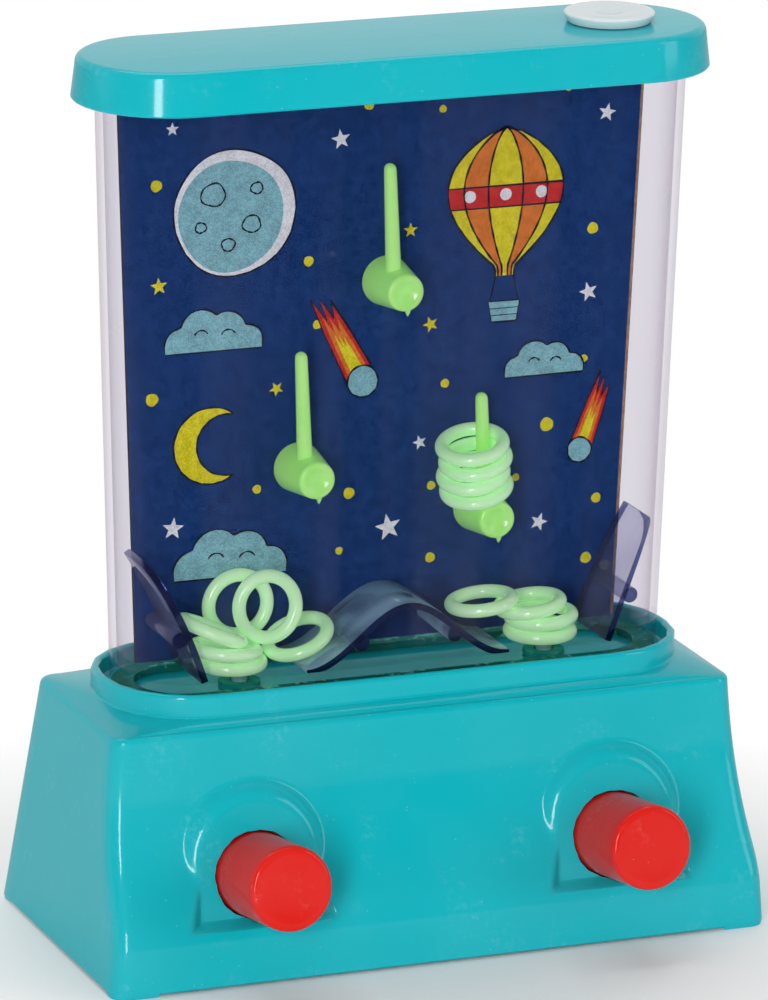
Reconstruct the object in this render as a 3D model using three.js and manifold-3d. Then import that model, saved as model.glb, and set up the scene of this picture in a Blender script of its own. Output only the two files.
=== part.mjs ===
// Water ring toss game: a clear tank of loose rings and pegs on a base with two pump buttons.
// Millimetres, +Z up, front towards -Y. The origin is under the middle of the whole object, on the table.
import * as THREE from "three";
import { mergeVertices } from "three/addons/utils/BufferGeometryUtils.js";
import Module from "manifold-3d";

const wasm = await Module();
wasm.setup();

// Clearances
const fit = 0.2; // between pieces that are pushed or stood together
const rest = 0.1; // under a piece that lies flat on another
const overrun = 1; // how far a cutting tool runs past what it cuts

// Base housing
const base = {
  length: 106.8,
  depth: 53.2,
  shoulderX: 3.75, // from the collar to the top edge at the ends
  shoulderY: 2.55, // and at the front and back
  topEdgeZ: 38,
  crown: 1,
  skirtHeight: 9.3,
  cornerRadius: 2.6,
  wall: 1.8,
  topWall: 2.4,
  edgeRound: 0.9,
  padHeight: 0.45,
  padLength: 7,
};
const flareShares = [1, 0.9, 0.79, 0.66, 0.51, 0.3];
const flarePowerShare = 2.5;
const roundShares = [0, 0.3, 1];

// Collar that the tank stands in
const collar = {
  endGap: 1.05, // between the tank and the collar at the ends
  sideGap: 3.05, // and at the front and back
  endFlat: 1.25, // half the straight part of each end
  height: 3.65,
  wall: 1.3,
  wellDepth: 3.05,
  rimRound: 0.5,
  foot: 0.3,
};

// Clear tank
const tank = {
  length: 88.4,
  depth: 22,
  spreadX: 2.7, // how far each end leans out from the collar to the lid
  spreadY: 0.3, // and the front and back
  wall: 1.2,
  floor: 1.8,
  flange: 1,
  flangeHeight: 1.6,
  jetInset: 19.2,
  jetRoom: 6.8, // from the front wall to the jets
  jetHoleRadius: 1.5,
};

// Lid
const lid = {
  overhangX: 3.6, // past the tank at the ends
  overhangY: 3.2, // and at the front and back
  topInset: 0.8,
  z: 131.4,
  height: 6.6,
  wall: 1.6,
  topWall: 2.2,
  edgeRound: 1,
  spigotWall: 1,
  spigotDepth: 2.4,
};

// The gasket under the tank and the seal under the lid
const gasket = { width: 3.6, height: 1 };
const seal = { height: 1.2 };

// Filler plug
const plug = {
  endInset: 15.5,
  radius: 6.95,
  footRadius: 6.4,
  height: 1.6,
  round: 0.35,
  dimpleRadius: 1.6,
  dimpleDepth: 0.5,
  holeRadius: 5.2,
  stemLength: 5,
  stemWall: 1.2,
  bead: 0.12,
};

// Printed backing card, a plate that stands in the tank and carries the pegs
const card = {
  ringRoom: 13.2, // between the tank's front wall and the card
  thickness: 0.8,
  bottomInset: 4.9,
  topInset: 4.3,
  headroom: 1.6,
  cornerRadius: 0.8,
  ribDepth: 1,
  ribReach: 0.9,
  ribGap: 2.4, // between the end ramps and the front ribs
};

// Pegs: a tapered boss on the card with an upright pin
const peg = {
  bossLength: 8.6,
  rootRadius: 3.9,
  endRadius: 2.85,
  endRound: 0.6,
  dish: 0.35,
  pinReach: 5, // from the card to the pin
  pinAside: 0.6, // from the boss's middle to the pin, towards the left
  pinLean: 0.9,
  pinHeight: 19.4,
  pinRootRadius: 1.2,
  pinTipRadius: 0.95,
  spigotRadius: 1.5,
  spigotLength: 1.6,
};
// Where each peg stands, as shares of the card's half width at its foot and of its height
const pegPlaceShares = {
  peg_upper: { xShare: 0.0127, zShare: 0.6501 },
  peg_left: { xShare: -0.3435, zShare: 0.333 },
  peg_right: { xShare: 0.4071, zShare: 0.2325 },
};

// Clear ramps that steer the rings over the two jets
const ramp = {
  thickness: 1.1,
  crestShare: 0.5422, // of half the hump's length
  jetGap: 8.4, // between the hump and the jets
  footInset: 11.8,
  topInset: 3.6,
  topHeight: 18.6,
  midInset: 8.2,
  midHeight: 11.2,
  rodRadius: 1.25,
  humpRodShare: 0.4578, // of half the hump's length
  endRodInset: 7.4,
  endRodHeight: 7.1,
};

// Rings
const ring = { centreRadius: 4.7, tubeRadius: 1.05 };
const pile = { leftInset: 17.9, rightInset: 19.6 }; // from the tank's ends to the middles of the two piles

// Buttons and pumps
const button = {
  endInset: 21.2,
  y: -22.5,
  z: 16.2,
  tiltDegrees: 9,
  radius: 6.5,
  reach: 14.8,
  round: 0.9,
  holeRadius: 6.8,
  flangeRadius: 7.9,
  flangeThickness: 1.5,
  stemRadius: 3,
  stemLength: 3,
  wall: 1.4,
};
const boss = {
  faceHalf: 9.3,
  faceRise: 2.2,
  edgeHalf: 10.7,
  edgeRise: 1.6,
  edgeDepth: 0.6,
  rootHalf: 12,
  rootRise: 0.9,
  rootDepth: 2.1,
  foot: 6.5,
  depth: 7,
  plate: 2.2,
  recessDepth: 6,
};
const pump = {
  length: 9,
  outerRadius: 6.8,
  waistRadius: 5.4,
  wall: 0.8,
  folds: 3,
  chamberRadius: 3.6,
  chamberWall: 1.1,
  ductRadius: 2.3,
  ductBore: 1.1,
  ductFlangeRadius: 6.2,
  ductFlange: 1.4,
  nozzleRadius: 1.25,
  nozzleBore: 0.65,
  nozzleHoleRadius: 1.6,
  shoulderRadius: 3.6,
  shoulderHeight: 1.4,
  bendShare: 0.5,
};
const jetSeal = { radius: 3.2, innerRadius: 1.5 };

// Bottom cover and its screws
const cover = {
  z: 1.2,
  thickness: 1.6,
  pillarInsetX: 6.3,
  pillarInsetY: 5.5,
  pillarRadius: 2.7,
  pillarBore: 1.15,
  screwHole: 1.4,
  cradleHalf: 4.2,
  cradleThickness: 2,
};
const screw = {
  headRadius: 2.3,
  headHeight: 0.75,
  shankRadius: 0.95,
  length: 10,
  slotWidth: 0.5,
  slotDepth: 0.35,
};

// Facets around round pieces that show, and around those inside
const roundSteps = 24;
const innerSteps = 15;

// Heights worked out from the sizes above
const baseTopZ = base.topEdgeZ + base.crown;
const collarTopZ = baseTopZ + collar.height;
const wellFloorZ = collarTopZ - collar.wellDepth;
const cavityTopZ = wellFloorZ - base.topWall;
const tankBottomZ = wellFloorZ + gasket.height + 2 * rest;
const floorZ = tankBottomZ + tank.floor;
const lidTopZ = lid.z + lid.height;
const lidUndersideZ = lidTopZ - lid.topWall;
const tankTopZ = lidUndersideZ - seal.height - 2 * rest;
const spigotZ = lidUndersideZ - seal.height - lid.spigotDepth;
const cardTopZ = spigotZ - card.headroom;

// Lengths, depths and places worked out from the sizes above
const tankTop = { length: tank.length + 2 * tank.spreadX, depth: tank.depth + 2 * tank.spreadY };
const collarLength = tank.length + 2 * (collar.endGap + collar.wall);
const collarDepth = tank.depth + 2 * (collar.sideGap + collar.wall);
const baseTop = { length: collarLength + 2 * base.shoulderX, depth: collarDepth + 2 * base.shoulderY };
const narrowHalfX = Math.min(base.length, baseTop.length) / 2;
const lidLength = tankTop.length + 2 * lid.overhangX;
const lidDepth = tankTop.depth + 2 * lid.overhangY;
const plugX = lidLength / 2 - plug.endInset;
const jetX = tank.length / 2 - tank.jetInset;
const buttonX = narrowHalfX - button.endInset;
const humpHalf = jetX - ramp.jetGap;
const frontWallY = -(tank.depth / 2 - tank.wall);
const jetY = frontWallY + tank.jetRoom;
const cardY = frontWallY + card.ringRoom;
const buttonTilt = THREE.MathUtils.degToRad(button.tiltDegrees);

// A three.js geometry as a manifold solid, and back
function solidOf(geometry) {
  const bare = geometry.clone();
  bare.deleteAttribute("normal");
  bare.deleteAttribute("uv");
  const merged = mergeVertices(bare);
  const mesh = new wasm.Mesh({
    numProp: 3,
    vertProperties: merged.attributes.position.array,
    triVerts: new Uint32Array(merged.index.array),
  });
  return new wasm.Manifold(mesh);
}

function geometryOf(solid) {
  const mesh = solid.getMesh();
  const geometry = new THREE.BufferGeometry();
  geometry.setAttribute("position", new THREE.BufferAttribute(mesh.vertProperties, 3));
  geometry.setIndex(new THREE.BufferAttribute(mesh.triVerts, 1));
  geometry.computeVertexNormals();
  return geometry;
}

function join(...geometries) {
  return geometryOf(geometries.map(solidOf).reduce((whole, next) => whole.add(next)));
}

function cut(geometry, ...tools) {
  return geometryOf(tools.map(solidOf).reduce((left, tool) => left.subtract(tool), solidOf(geometry)));
}

function common(geometry, other) {
  return geometryOf(solidOf(geometry).intersect(solidOf(other)));
}

// Outline of a rounded rectangle whose front and back may lie at different distances
function outline(halfX, front, back, radius, steps) {
  const points = [];
  const corners = [
    [halfX - radius, back - radius, 0],
    [radius - halfX, back - radius, 1],
    [radius - halfX, radius - front, 2],
    [halfX - radius, radius - front, 3],
  ];
  for (const [x, y, quarter] of corners) {
    for (let i = 0; i <= steps; i++) {
      const angle = (quarter + i / steps) * (Math.PI / 2);
      points.push(new THREE.Vector2(x + radius * Math.cos(angle), y + radius * Math.sin(angle)));
    }
  }
  return points;
}

// A long outline with fully round ends
function stadium(halfX, halfY, steps) {
  return outline(halfX, halfY, halfY, halfY, steps);
}

// Closed solid through convex outlines of equal point counts, one above the other
function loft(sections) {
  const count = sections[0].points.length;
  const positions = [];
  for (const { z, points } of sections) {
    for (const point of points) positions.push(point.x, point.y, z);
  }
  const index = [];
  for (let level = 0; level + 1 < sections.length; level++) {
    for (let i = 0; i < count; i++) {
      const a = level * count + i;
      const b = level * count + ((i + 1) % count);
      index.push(a, b, b + count, a, b + count, a + count);
    }
  }
  const last = (sections.length - 1) * count;
  for (let i = 1; i + 1 < count; i++) {
    index.push(0, i + 1, i);
    index.push(last, last + i, last + i + 1);
  }
  const geometry = new THREE.BufferGeometry();
  geometry.setAttribute("position", new THREE.Float32BufferAttribute(positions, 3));
  geometry.setIndex(index);
  return geometry;
}

// Round solid about +Z from pairs of radius and height
function turned(pairs, segments) {
  const profile = pairs.map(([radius, height]) => new THREE.Vector2(radius, height));
  return new THREE.LatheGeometry(profile, segments).rotateX(Math.PI / 2);
}

function cylinderZ(radius, lowZ, highZ, x, y, segments) {
  const geometry = new THREE.CylinderGeometry(radius, radius, highZ - lowZ, segments);
  geometry.rotateX(Math.PI / 2);
  return geometry.translate(x, y, (lowZ + highZ) / 2);
}

function rodY(radius, lowY, highY, x, z, segments) {
  const geometry = new THREE.CylinderGeometry(radius, radius, highY - lowY, segments);
  return geometry.translate(x, (lowY + highY) / 2, z);
}

function block(lowX, highX, lowY, highY, lowZ, highZ) {
  const geometry = new THREE.BoxGeometry(highX - lowX, highY - lowY, highZ - lowZ);
  return geometry.translate((lowX + highX) / 2, (lowY + highY) / 2, (lowZ + highZ) / 2);
}

function mirrored(geometry) {
  const flipped = geometry.clone();
  const index = flipped.index.array;
  flipped.scale(-1, 1, 1);
  for (let i = 0; i < index.length; i += 3) {
    [index[i + 1], index[i + 2]] = [index[i + 2], index[i + 1]];
  }
  return flipped;
}

// Half sizes of the housing's outside at a height, and its section there
const cornerSteps = 3;
function housingSection(z, inset) {
  const rise = THREE.MathUtils.clamp(z / base.topEdgeZ, 0, 1);
  const halfX = THREE.MathUtils.lerp(base.length, baseTop.length, rise) / 2;
  const back = THREE.MathUtils.lerp(base.depth, baseTop.depth, rise) / 2;
  const drop = (base.topEdgeZ - z) / (base.topEdgeZ - base.skirtHeight);
  const flare = Math.pow(THREE.MathUtils.clamp(drop, 0, 1), flarePowerShare);
  const front = THREE.MathUtils.lerp(baseTop.depth, base.depth, flare) / 2;
  const radius = Math.max(base.cornerRadius - inset, base.cornerRadius / 3);
  const points = outline(halfX - inset, front - inset, back - inset, radius, cornerSteps);
  return { z, points };
}

function flareHeights(topZ) {
  const span = base.topEdgeZ - base.skirtHeight;
  return flareShares.map((share) => base.topEdgeZ - share * span).filter((z) => z < topZ);
}

function housingOutside() {
  const edgeZ = base.topEdgeZ - base.edgeRound;
  const sections = [base.padHeight, ...flareHeights(edgeZ), edgeZ].map((z) => housingSection(z, 0));
  const top = housingSection(base.topEdgeZ, base.edgeRound);
  const middle = housingSection(base.topEdgeZ - base.edgeRound * roundShares[1], base.edgeRound * roundShares[1]);
  const footY = collarDepth / 2 + collar.foot;
  const foot = outline(collarLength / 2 + collar.foot, footY, footY, base.cornerRadius, cornerSteps);
  sections.push(middle, top, { z: baseTopZ, points: foot });
  return loft(sections);
}

function collarSection(z, inset, steps) {
  const halfY = collarDepth / 2 - inset;
  return { z, points: outline(collarLength / 2 - inset, halfY, halfY, halfY - collar.endFlat, steps) };
}

const collarSteps = 7;
function collarOutside() {
  const rim = roundShares.map((share) =>
    collarSection(collarTopZ - collar.rimRound * (1 - share), collar.rimRound * share * share, collarSteps),
  );
  return loft([
    collarSection(base.topEdgeZ - base.edgeRound, -collar.foot, collarSteps),
    collarSection(baseTopZ, -collar.foot, collarSteps),
    collarSection(baseTopZ + collar.foot, 0, collarSteps),
    ...rim,
  ]);
}

function housingCavity() {
  const heights = [-overrun, ...flareHeights(cavityTopZ), cavityTopZ];
  return loft(heights.map((z) => housingSection(z, base.wall)));
}

function well() {
  return loft([wellFloorZ, collarTopZ + overrun].map((z) => collarSection(z, collar.wall, collarSteps)));
}

// Places a solid made about +Z on a button's axis, its zero at the face of the boss
function onButtonAxis(geometry, side) {
  geometry.rotateX(Math.PI / 2 - buttonTilt);
  return geometry.translate(side * buttonX, button.y, button.z);
}

// An arch with straight legs, drawn on a plane across a button's axis
const archSteps = 14;
function arch(height, half, rise, foot) {
  const points = [new THREE.Vector2(half, -foot)];
  for (let i = 0; i <= archSteps; i++) {
    const angle = (i / archSteps) * Math.PI;
    points.push(new THREE.Vector2(half * Math.cos(angle), rise + half * Math.sin(angle)));
  }
  points.push(new THREE.Vector2(-half, -foot));
  return { z: height, points };
}

// The arched boss that stands out of the wall around a button
function bossBlock(side) {
  const sections = [
    arch(-boss.depth, boss.rootHalf, boss.rootRise, boss.foot),
    arch(-boss.rootDepth, boss.rootHalf, boss.rootRise, boss.foot),
    arch(-boss.edgeDepth, boss.edgeHalf, boss.edgeRise, boss.foot),
    arch(0, boss.faceHalf, boss.faceRise, boss.foot),
  ];
  return onButtonAxis(loft(sections), side);
}

// Where the wall flares past the face of the boss it is hollowed out, and backed from inside
function bossRecess(side) {
  const sections = [
    arch(0, boss.faceHalf, boss.faceRise, boss.foot),
    arch(boss.recessDepth, boss.faceHalf + boss.recessDepth, boss.faceRise, boss.foot),
  ];
  return onButtonAxis(loft(sections), side);
}

function bossBacking(side) {
  const foot = boss.foot + base.wall;
  const half = boss.faceHalf + base.wall;
  const sections = [
    arch(-boss.plate, half, boss.rootRise, foot),
    arch(0, half, boss.rootRise, foot),
    arch(boss.recessDepth, half + boss.recessDepth, boss.rootRise, foot),
  ];
  return onButtonAxis(loft(sections), side);
}

// Room behind the wall for the button's flange
function flangeRoom(side) {
  const radius = button.flangeRadius + 2 * fit;
  const pairs = [
    [0, -boss.depth - overrun],
    [radius, -boss.depth - overrun],
    [radius, -boss.plate],
    [0, -boss.plate],
  ];
  return onButtonAxis(turned(pairs, roundSteps), side);
}

function buttonHole(side) {
  const pairs = [
    [0, -boss.depth - overrun],
    [button.holeRadius, -boss.depth - overrun],
    [button.holeRadius, overrun],
    [0, overrun],
  ];
  return onButtonAxis(turned(pairs, roundSteps), side);
}

function cornerPads() {
  const ringLow = [0, base.padHeight + fit].map((z) => ({ ...housingSection(base.padHeight, 0), z }));
  const hole = [-overrun, overrun].map((z) => ({ ...housingSection(base.padHeight, base.wall), z }));
  const strip = cut(loft(ringLow), loft(hole));
  const keepX = base.length / 2 - base.padLength;
  const keepY = base.depth / 2 - base.padLength / 2;
  const wide = base.length;
  return cut(
    strip,
    block(-keepX, keepX, -wide, wide, -overrun, overrun),
    block(-wide, wide, -keepY, keepY, -overrun, overrun),
  );
}

function pillarSpots() {
  const x = narrowHalfX - cover.pillarInsetX;
  const y = baseTop.depth / 2 - cover.pillarInsetY;
  return [-1, 1].flatMap((sx) => [-1, 1].map((sy) => [sx * x, sy * y]));
}

function baseHousing() {
  const sides = [-1, 1];
  const outside = join(housingOutside(), collarOutside(), ...sides.map(bossBlock));
  const shell = cut(outside, housingCavity());
  const plates = sides.map((side) => common(bossBacking(side), outside));
  const pillarFoot = cover.z + cover.thickness + fit;
  const pillars = pillarSpots().map(([x, y]) =>
    cylinderZ(cover.pillarRadius, pillarFoot, cavityTopZ + base.topWall / 2, x, y, 12),
  );
  const bores = pillarSpots().map(([x, y]) =>
    cylinderZ(cover.pillarBore, pillarFoot - overrun, pillarFoot + screw.length, x, y, 10),
  );
  const ductHoles = sides.map((side) =>
    cylinderZ(pump.nozzleHoleRadius, cavityTopZ - overrun, wellFloorZ + overrun, side * jetX, jetY, 12),
  );
  const whole = join(shell, ...plates, ...pillars, cornerPads());
  const buttonTools = sides.flatMap((side) => [bossRecess(side), flangeRoom(side), buttonHole(side)]);
  return cut(whole, well(), ...buttonTools, ...bores, ...ductHoles);
}

// Half length and half depth of the tank's outside at a height
function tankHalves(z) {
  const rise = (z - collarTopZ) / (lid.z - collarTopZ);
  return {
    halfX: THREE.MathUtils.lerp(tank.length, tankTop.length, rise) / 2,
    halfY: THREE.MathUtils.lerp(tank.depth, tankTop.depth, rise) / 2,
  };
}

const tankSteps = 8;
function tankSection(z, inset) {
  const { halfX, halfY } = tankHalves(z);
  return { z, points: stadium(halfX - inset, halfY - inset, tankSteps) };
}

function tankInside(inset, lowZ, highZ) {
  return loft([tankSection(lowZ, tank.wall + inset), tankSection(highZ, tank.wall + inset)]);
}

// Upright prism from an outline in X and Z, between two depths
function prismXZ(pairs, frontY, backY) {
  const shape = new THREE.Shape(pairs.map(([x, z]) => new THREE.Vector2(x, z)));
  const geometry = new THREE.ExtrudeGeometry(shape, { depth: backY - frontY, bevelEnabled: false });
  geometry.rotateX(Math.PI / 2);
  return geometry.translate(0, backY, 0);
}

function cardHalf(z) {
  const rise = (z - floorZ) / (cardTopZ - floorZ);
  const foot = tank.length / 2 - card.bottomInset;
  return THREE.MathUtils.lerp(foot, tankTop.length / 2 - card.topInset, rise);
}

// Ribs inside the tank's ends that hold the card's edges between them
function cardRibs(side) {
  const frontEdge = cardY - fit;
  const backEdge = cardY + card.thickness + fit;
  const rib = (lowZ, frontY, backY) => {
    const pairs = [
      [side * (cardHalf(lowZ) - card.ribReach), lowZ],
      [side * (tankHalves(lowZ).halfX - tank.wall / 2), lowZ],
      [side * (tankHalves(cardTopZ).halfX - tank.wall / 2), cardTopZ],
      [side * (cardHalf(cardTopZ) - card.ribReach), cardTopZ],
    ];
    return prismXZ(side > 0 ? pairs : pairs.reverse(), frontY, backY);
  };
  return [
    rib(floorZ + ramp.topHeight + card.ribGap, frontEdge - card.ribDepth, frontEdge),
    rib(floorZ - tank.floor / 2, backEdge, backEdge + card.ribDepth),
  ];
}

function waterTank() {
  const outside = loft([tankSection(tankBottomZ, 0), tankSection(tankTopZ, 0)]);
  const flangeZ = tankTopZ - tank.flangeHeight;
  const flange = loft([tankSection(flangeZ, -tank.flange), tankSection(tankTopZ, -tank.flange)]);
  const shell = cut(join(outside, flange), tankInside(0, floorZ, tankTopZ + overrun));
  const ribs = [-1, 1].flatMap(cardRibs).map((rib) => common(rib, outside));
  const jets = [-1, 1].map((side) =>
    cylinderZ(tank.jetHoleRadius, tankBottomZ - overrun, floorZ + overrun, side * jetX, jetY, 12),
  );
  return cut(join(shell, ...ribs), ...jets);
}

function tankGasket() {
  const low = wellFloorZ + rest;
  const ringAt = (inset, overshoot) =>
    loft([low - overshoot, low + gasket.height + overshoot].map((z) => ({ ...tankSection(tankBottomZ, inset), z })));
  return cut(ringAt(fit, 0), ringAt(gasket.width, overrun));
}

function lidSeal() {
  const low = tankTopZ + rest;
  const ringAt = (inset, overshoot) =>
    loft([low - overshoot, low + seal.height + overshoot].map((z) => ({ ...tankSection(tankTopZ, inset), z })));
  return cut(ringAt(-tank.flange, 0), ringAt(tank.wall, overrun));
}

const lidSteps = 9;
function lidSection(z, inset) {
  const draw = (lid.topInset * (z - lid.z)) / lid.height + inset;
  return { z, points: stadium(lidLength / 2 - draw, lidDepth / 2 - draw, lidSteps) };
}

function lidShell() {
  const rounding = roundShares.map((share) =>
    lidSection(lidTopZ - lid.edgeRound * (1 - share), lid.edgeRound * share * share),
  );
  const outside = loft([lidSection(lid.z, 0), ...rounding]);
  const inside = loft([lidSection(lid.z - overrun, lid.wall), lidSection(lidUndersideZ, lid.wall)]);
  const spigotOut = tankInside(fit, spigotZ, lidUndersideZ + overrun / 2);
  const spigotIn = tankInside(fit + lid.spigotWall, spigotZ - overrun, lidUndersideZ);
  const spigot = cut(spigotOut, spigotIn);
  const hole = cylinderZ(plug.holeRadius, spigotZ, lidTopZ + overrun, plugX, 0, roundSteps);
  return cut(join(cut(outside, inside), spigot), hole);
}

function fillPlug() {
  const seatZ = lidTopZ + rest;
  const topZ = seatZ + plug.height;
  const stemRadius = plug.holeRadius - fit;
  const stemZ = seatZ - plug.stemLength;
  const bore = stemRadius - plug.stemWall;
  const pairs = [
    [0, seatZ - lid.topWall],
    [bore, seatZ - lid.topWall],
    [bore, stemZ],
    [stemRadius - plug.stemWall / 2, stemZ],
    [stemRadius, stemZ + plug.stemWall],
    [stemRadius + plug.bead, lidUndersideZ - plug.stemWall / 2],
    [stemRadius, lidUndersideZ],
    [stemRadius, seatZ],
    [plug.footRadius, seatZ],
    [plug.radius, topZ - plug.round],
    [plug.radius - plug.round, topZ],
    [plug.dimpleRadius, topZ],
    [plug.dimpleRadius / 2, topZ - plug.dimpleDepth],
    [0, topZ - plug.dimpleDepth],
  ];
  return turned(pairs, roundSteps).translate(plugX, 0, 0);
}

function pegPlace(name) {
  const share = pegPlaceShares[name];
  return { x: share.xShare * cardHalf(floorZ), z: floorZ + share.zShare * (cardTopZ - floorZ) };
}

const pegNames = Object.keys(pegPlaceShares);
function backingCard() {
  const lowZ = floorZ + fit;
  const corner = card.cornerRadius;
  const shape = new THREE.Shape();
  shape.moveTo(-cardHalf(lowZ), lowZ);
  shape.lineTo(cardHalf(lowZ), lowZ);
  shape.lineTo(cardHalf(cardTopZ), cardTopZ - corner);
  shape.lineTo(cardHalf(cardTopZ) - corner, cardTopZ);
  shape.lineTo(corner - cardHalf(cardTopZ), cardTopZ);
  shape.lineTo(-cardHalf(cardTopZ), cardTopZ - corner);
  const plate = new THREE.ExtrudeGeometry(shape, { depth: card.thickness, bevelEnabled: false });
  plate.rotateX(Math.PI / 2).translate(0, cardY + card.thickness, 0);
  const holes = pegNames.map(pegPlace).map(({ x, z }) =>
    rodY(peg.spigotRadius + fit, cardY - overrun, cardY + card.thickness + overrun, x, z, 14),
  );
  return cut(plate, ...holes);
}

function pegSolid({ x, z }) {
  const backY = cardY - fit;
  const bossPairs = [
    [0, -peg.spigotLength],
    [peg.spigotRadius, -peg.spigotLength],
    [peg.spigotRadius, 0],
    [peg.rootRadius, 0],
    [peg.endRadius, peg.bossLength - peg.endRound],
    [peg.endRadius - peg.endRound, peg.bossLength],
    [peg.endRadius / 2, peg.bossLength - peg.dish],
    [0, peg.bossLength - peg.dish],
  ];
  const bossSolid = turned(bossPairs, 20).rotateX(Math.PI / 2).translate(x, backY, z);
  const pinPairs = [
    [0, 0],
    [peg.pinRootRadius, 0],
    [peg.pinTipRadius, peg.pinHeight - peg.pinTipRadius],
    [peg.pinTipRadius / 2, peg.pinHeight - peg.pinTipRadius / 4],
    [0, peg.pinHeight],
  ];
  const pin = turned(pinPairs, 10).rotateY(-Math.atan2(peg.pinLean, peg.pinHeight));
  return join(bossSolid, pin.translate(x - peg.pinAside, cardY - peg.pinReach, z));
}

// Ramp sheets follow a curve in X and Z, run from the front wall to the card and fit the round ends
function rampSheet(curve, rods, lowZ) {
  const lower = curve.map((point, i) => {
    const before = curve[Math.max(i - 1, 0)];
    const after = curve[Math.min(i + 1, curve.length - 1)];
    const along = new THREE.Vector2().subVectors(after, before).normalize();
    return new THREE.Vector2(point.x + along.y * ramp.thickness, point.y - along.x * ramp.thickness);
  });
  const pairs = [...lower, ...curve.slice().reverse()].map((point) => [point.x, Math.max(point.y, lowZ)]);
  const backY = cardY - fit;
  const sheet = prismXZ(pairs, frontWallY, backY);
  const supports = rods.map(([x, z]) => rodY(ramp.rodRadius, frontWallY, backY, x, z, 12));
  const joined = join(sheet, ...supports);
  return common(joined, tankInside(fit, floorZ + rest, floorZ + 2 * ramp.topHeight));
}

// How high the hump is at a share of the way from its middle to its end
function humpLift(share) {
  return (humpHalf * ramp.crestShare * (1 + Math.cos(Math.PI * share))) / 2;
}

function rampCentre() {
  const lowZ = floorZ + rest;
  const steps = 16;
  const curve = [];
  for (let i = 0; i <= steps; i++) {
    const share = (2 * i) / steps - 1;
    curve.push(new THREE.Vector2(humpHalf * share, lowZ + ramp.thickness / 2 + humpLift(share)));
  }
  const rodX = humpHalf * ramp.humpRodShare;
  const rodZ = lowZ + humpLift(ramp.humpRodShare) - ramp.rodRadius;
  return rampSheet(
    curve,
    [
      [-rodX, rodZ],
      [rodX, rodZ],
    ],
    lowZ,
  );
}

function rampEnd() {
  const lowZ = floorZ + rest;
  const endX = tank.length / 2;
  const bend = new THREE.QuadraticBezierCurve(
    new THREE.Vector2(endX - ramp.footInset, lowZ + ramp.thickness / 3),
    new THREE.Vector2(endX - ramp.midInset, floorZ + ramp.midHeight),
    new THREE.Vector2(endX - ramp.topInset, floorZ + ramp.topHeight),
  );
  const rods = [[endX - ramp.endRodInset, floorZ + ramp.endRodHeight]];
  return rampSheet(bend.getPoints(8), rods, lowZ);
}

function buttonSolid(side) {
  const flangeTop = -boss.plate - fit;
  const flangeLow = flangeTop - button.flangeThickness;
  const stemLow = flangeLow - button.stemLength;
  const face = button.reach;
  const bore = button.radius - button.wall;
  const half = button.round * (1 - Math.SQRT1_2);
  const pairs = [
    [0, stemLow],
    [button.stemRadius, stemLow],
    [button.stemRadius, face - 2 * button.wall],
    [bore, face - 2 * button.wall],
    [bore, flangeLow],
    [button.flangeRadius, flangeLow],
    [button.flangeRadius, flangeTop],
    [button.radius, flangeTop],
    [button.radius, face - button.round],
    [button.radius - half, face - half],
    [button.radius - button.round, face],
    [0, face],
  ];
  return onButtonAxis(turned(pairs, roundSteps), side);
}

function pumpFrontS() {
  return -boss.plate - fit - button.flangeThickness - button.stemLength - fit;
}

function pumpBellows(side) {
  const front = pumpFrontS();
  const back = front - pump.length;
  const pitch = (pump.length - 2 * pump.wall) / pump.folds;
  const outer = [[0, front]];
  const inner = [];
  outer.push([pump.waistRadius, front]);
  inner.push([0, front - pump.wall], [pump.waistRadius - pump.wall, front - pump.wall]);
  for (let i = 0; i < pump.folds; i++) {
    const ridge = front - pump.wall - pitch * (i + 1 / 2);
    const root = front - pump.wall - pitch * (i + 1);
    outer.push([pump.outerRadius, ridge], [pump.waistRadius, root]);
    inner.push([pump.outerRadius - pump.wall, ridge], [pump.waistRadius - pump.wall, root]);
  }
  outer.push([pump.waistRadius, back]);
  inner.push([pump.waistRadius - pump.wall, back]);
  const pairs = [...inner, ...outer.reverse()];
  return onButtonAxis(turned(pairs, innerSteps), side);
}

// The duct's rising pipe, from its chamber behind the bellows to the jet above it
function ductPath() {
  const lowZ = chamberZ();
  const highZ = cavityTopZ - fit - pump.shoulderHeight / 2;
  const span = highZ - lowZ;
  return new THREE.CubicBezierCurve3(
    new THREE.Vector3(buttonX, jetY, lowZ),
    new THREE.Vector3(buttonX, jetY, lowZ + span * pump.bendShare),
    new THREE.Vector3(jetX, jetY, highZ - span * pump.bendShare),
    new THREE.Vector3(jetX, jetY, highZ),
  );
}

function chamberS() {
  return (button.y - jetY) / Math.cos(buttonTilt);
}

function chamberZ() {
  return button.z + chamberS() * Math.sin(buttonTilt);
}

const tubeSteps = 8;
function tube(path, radius, sides) {
  const points = [];
  for (let i = 0; i < sides; i++) {
    const angle = (i / sides) * 2 * Math.PI;
    points.push(new THREE.Vector2(radius * Math.cos(angle), radius * Math.sin(angle)));
  }
  const shape = new THREE.Shape(points);
  return new THREE.ExtrudeGeometry(shape, { steps: tubeSteps, extrudePath: path, bevelEnabled: false });
}

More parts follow.
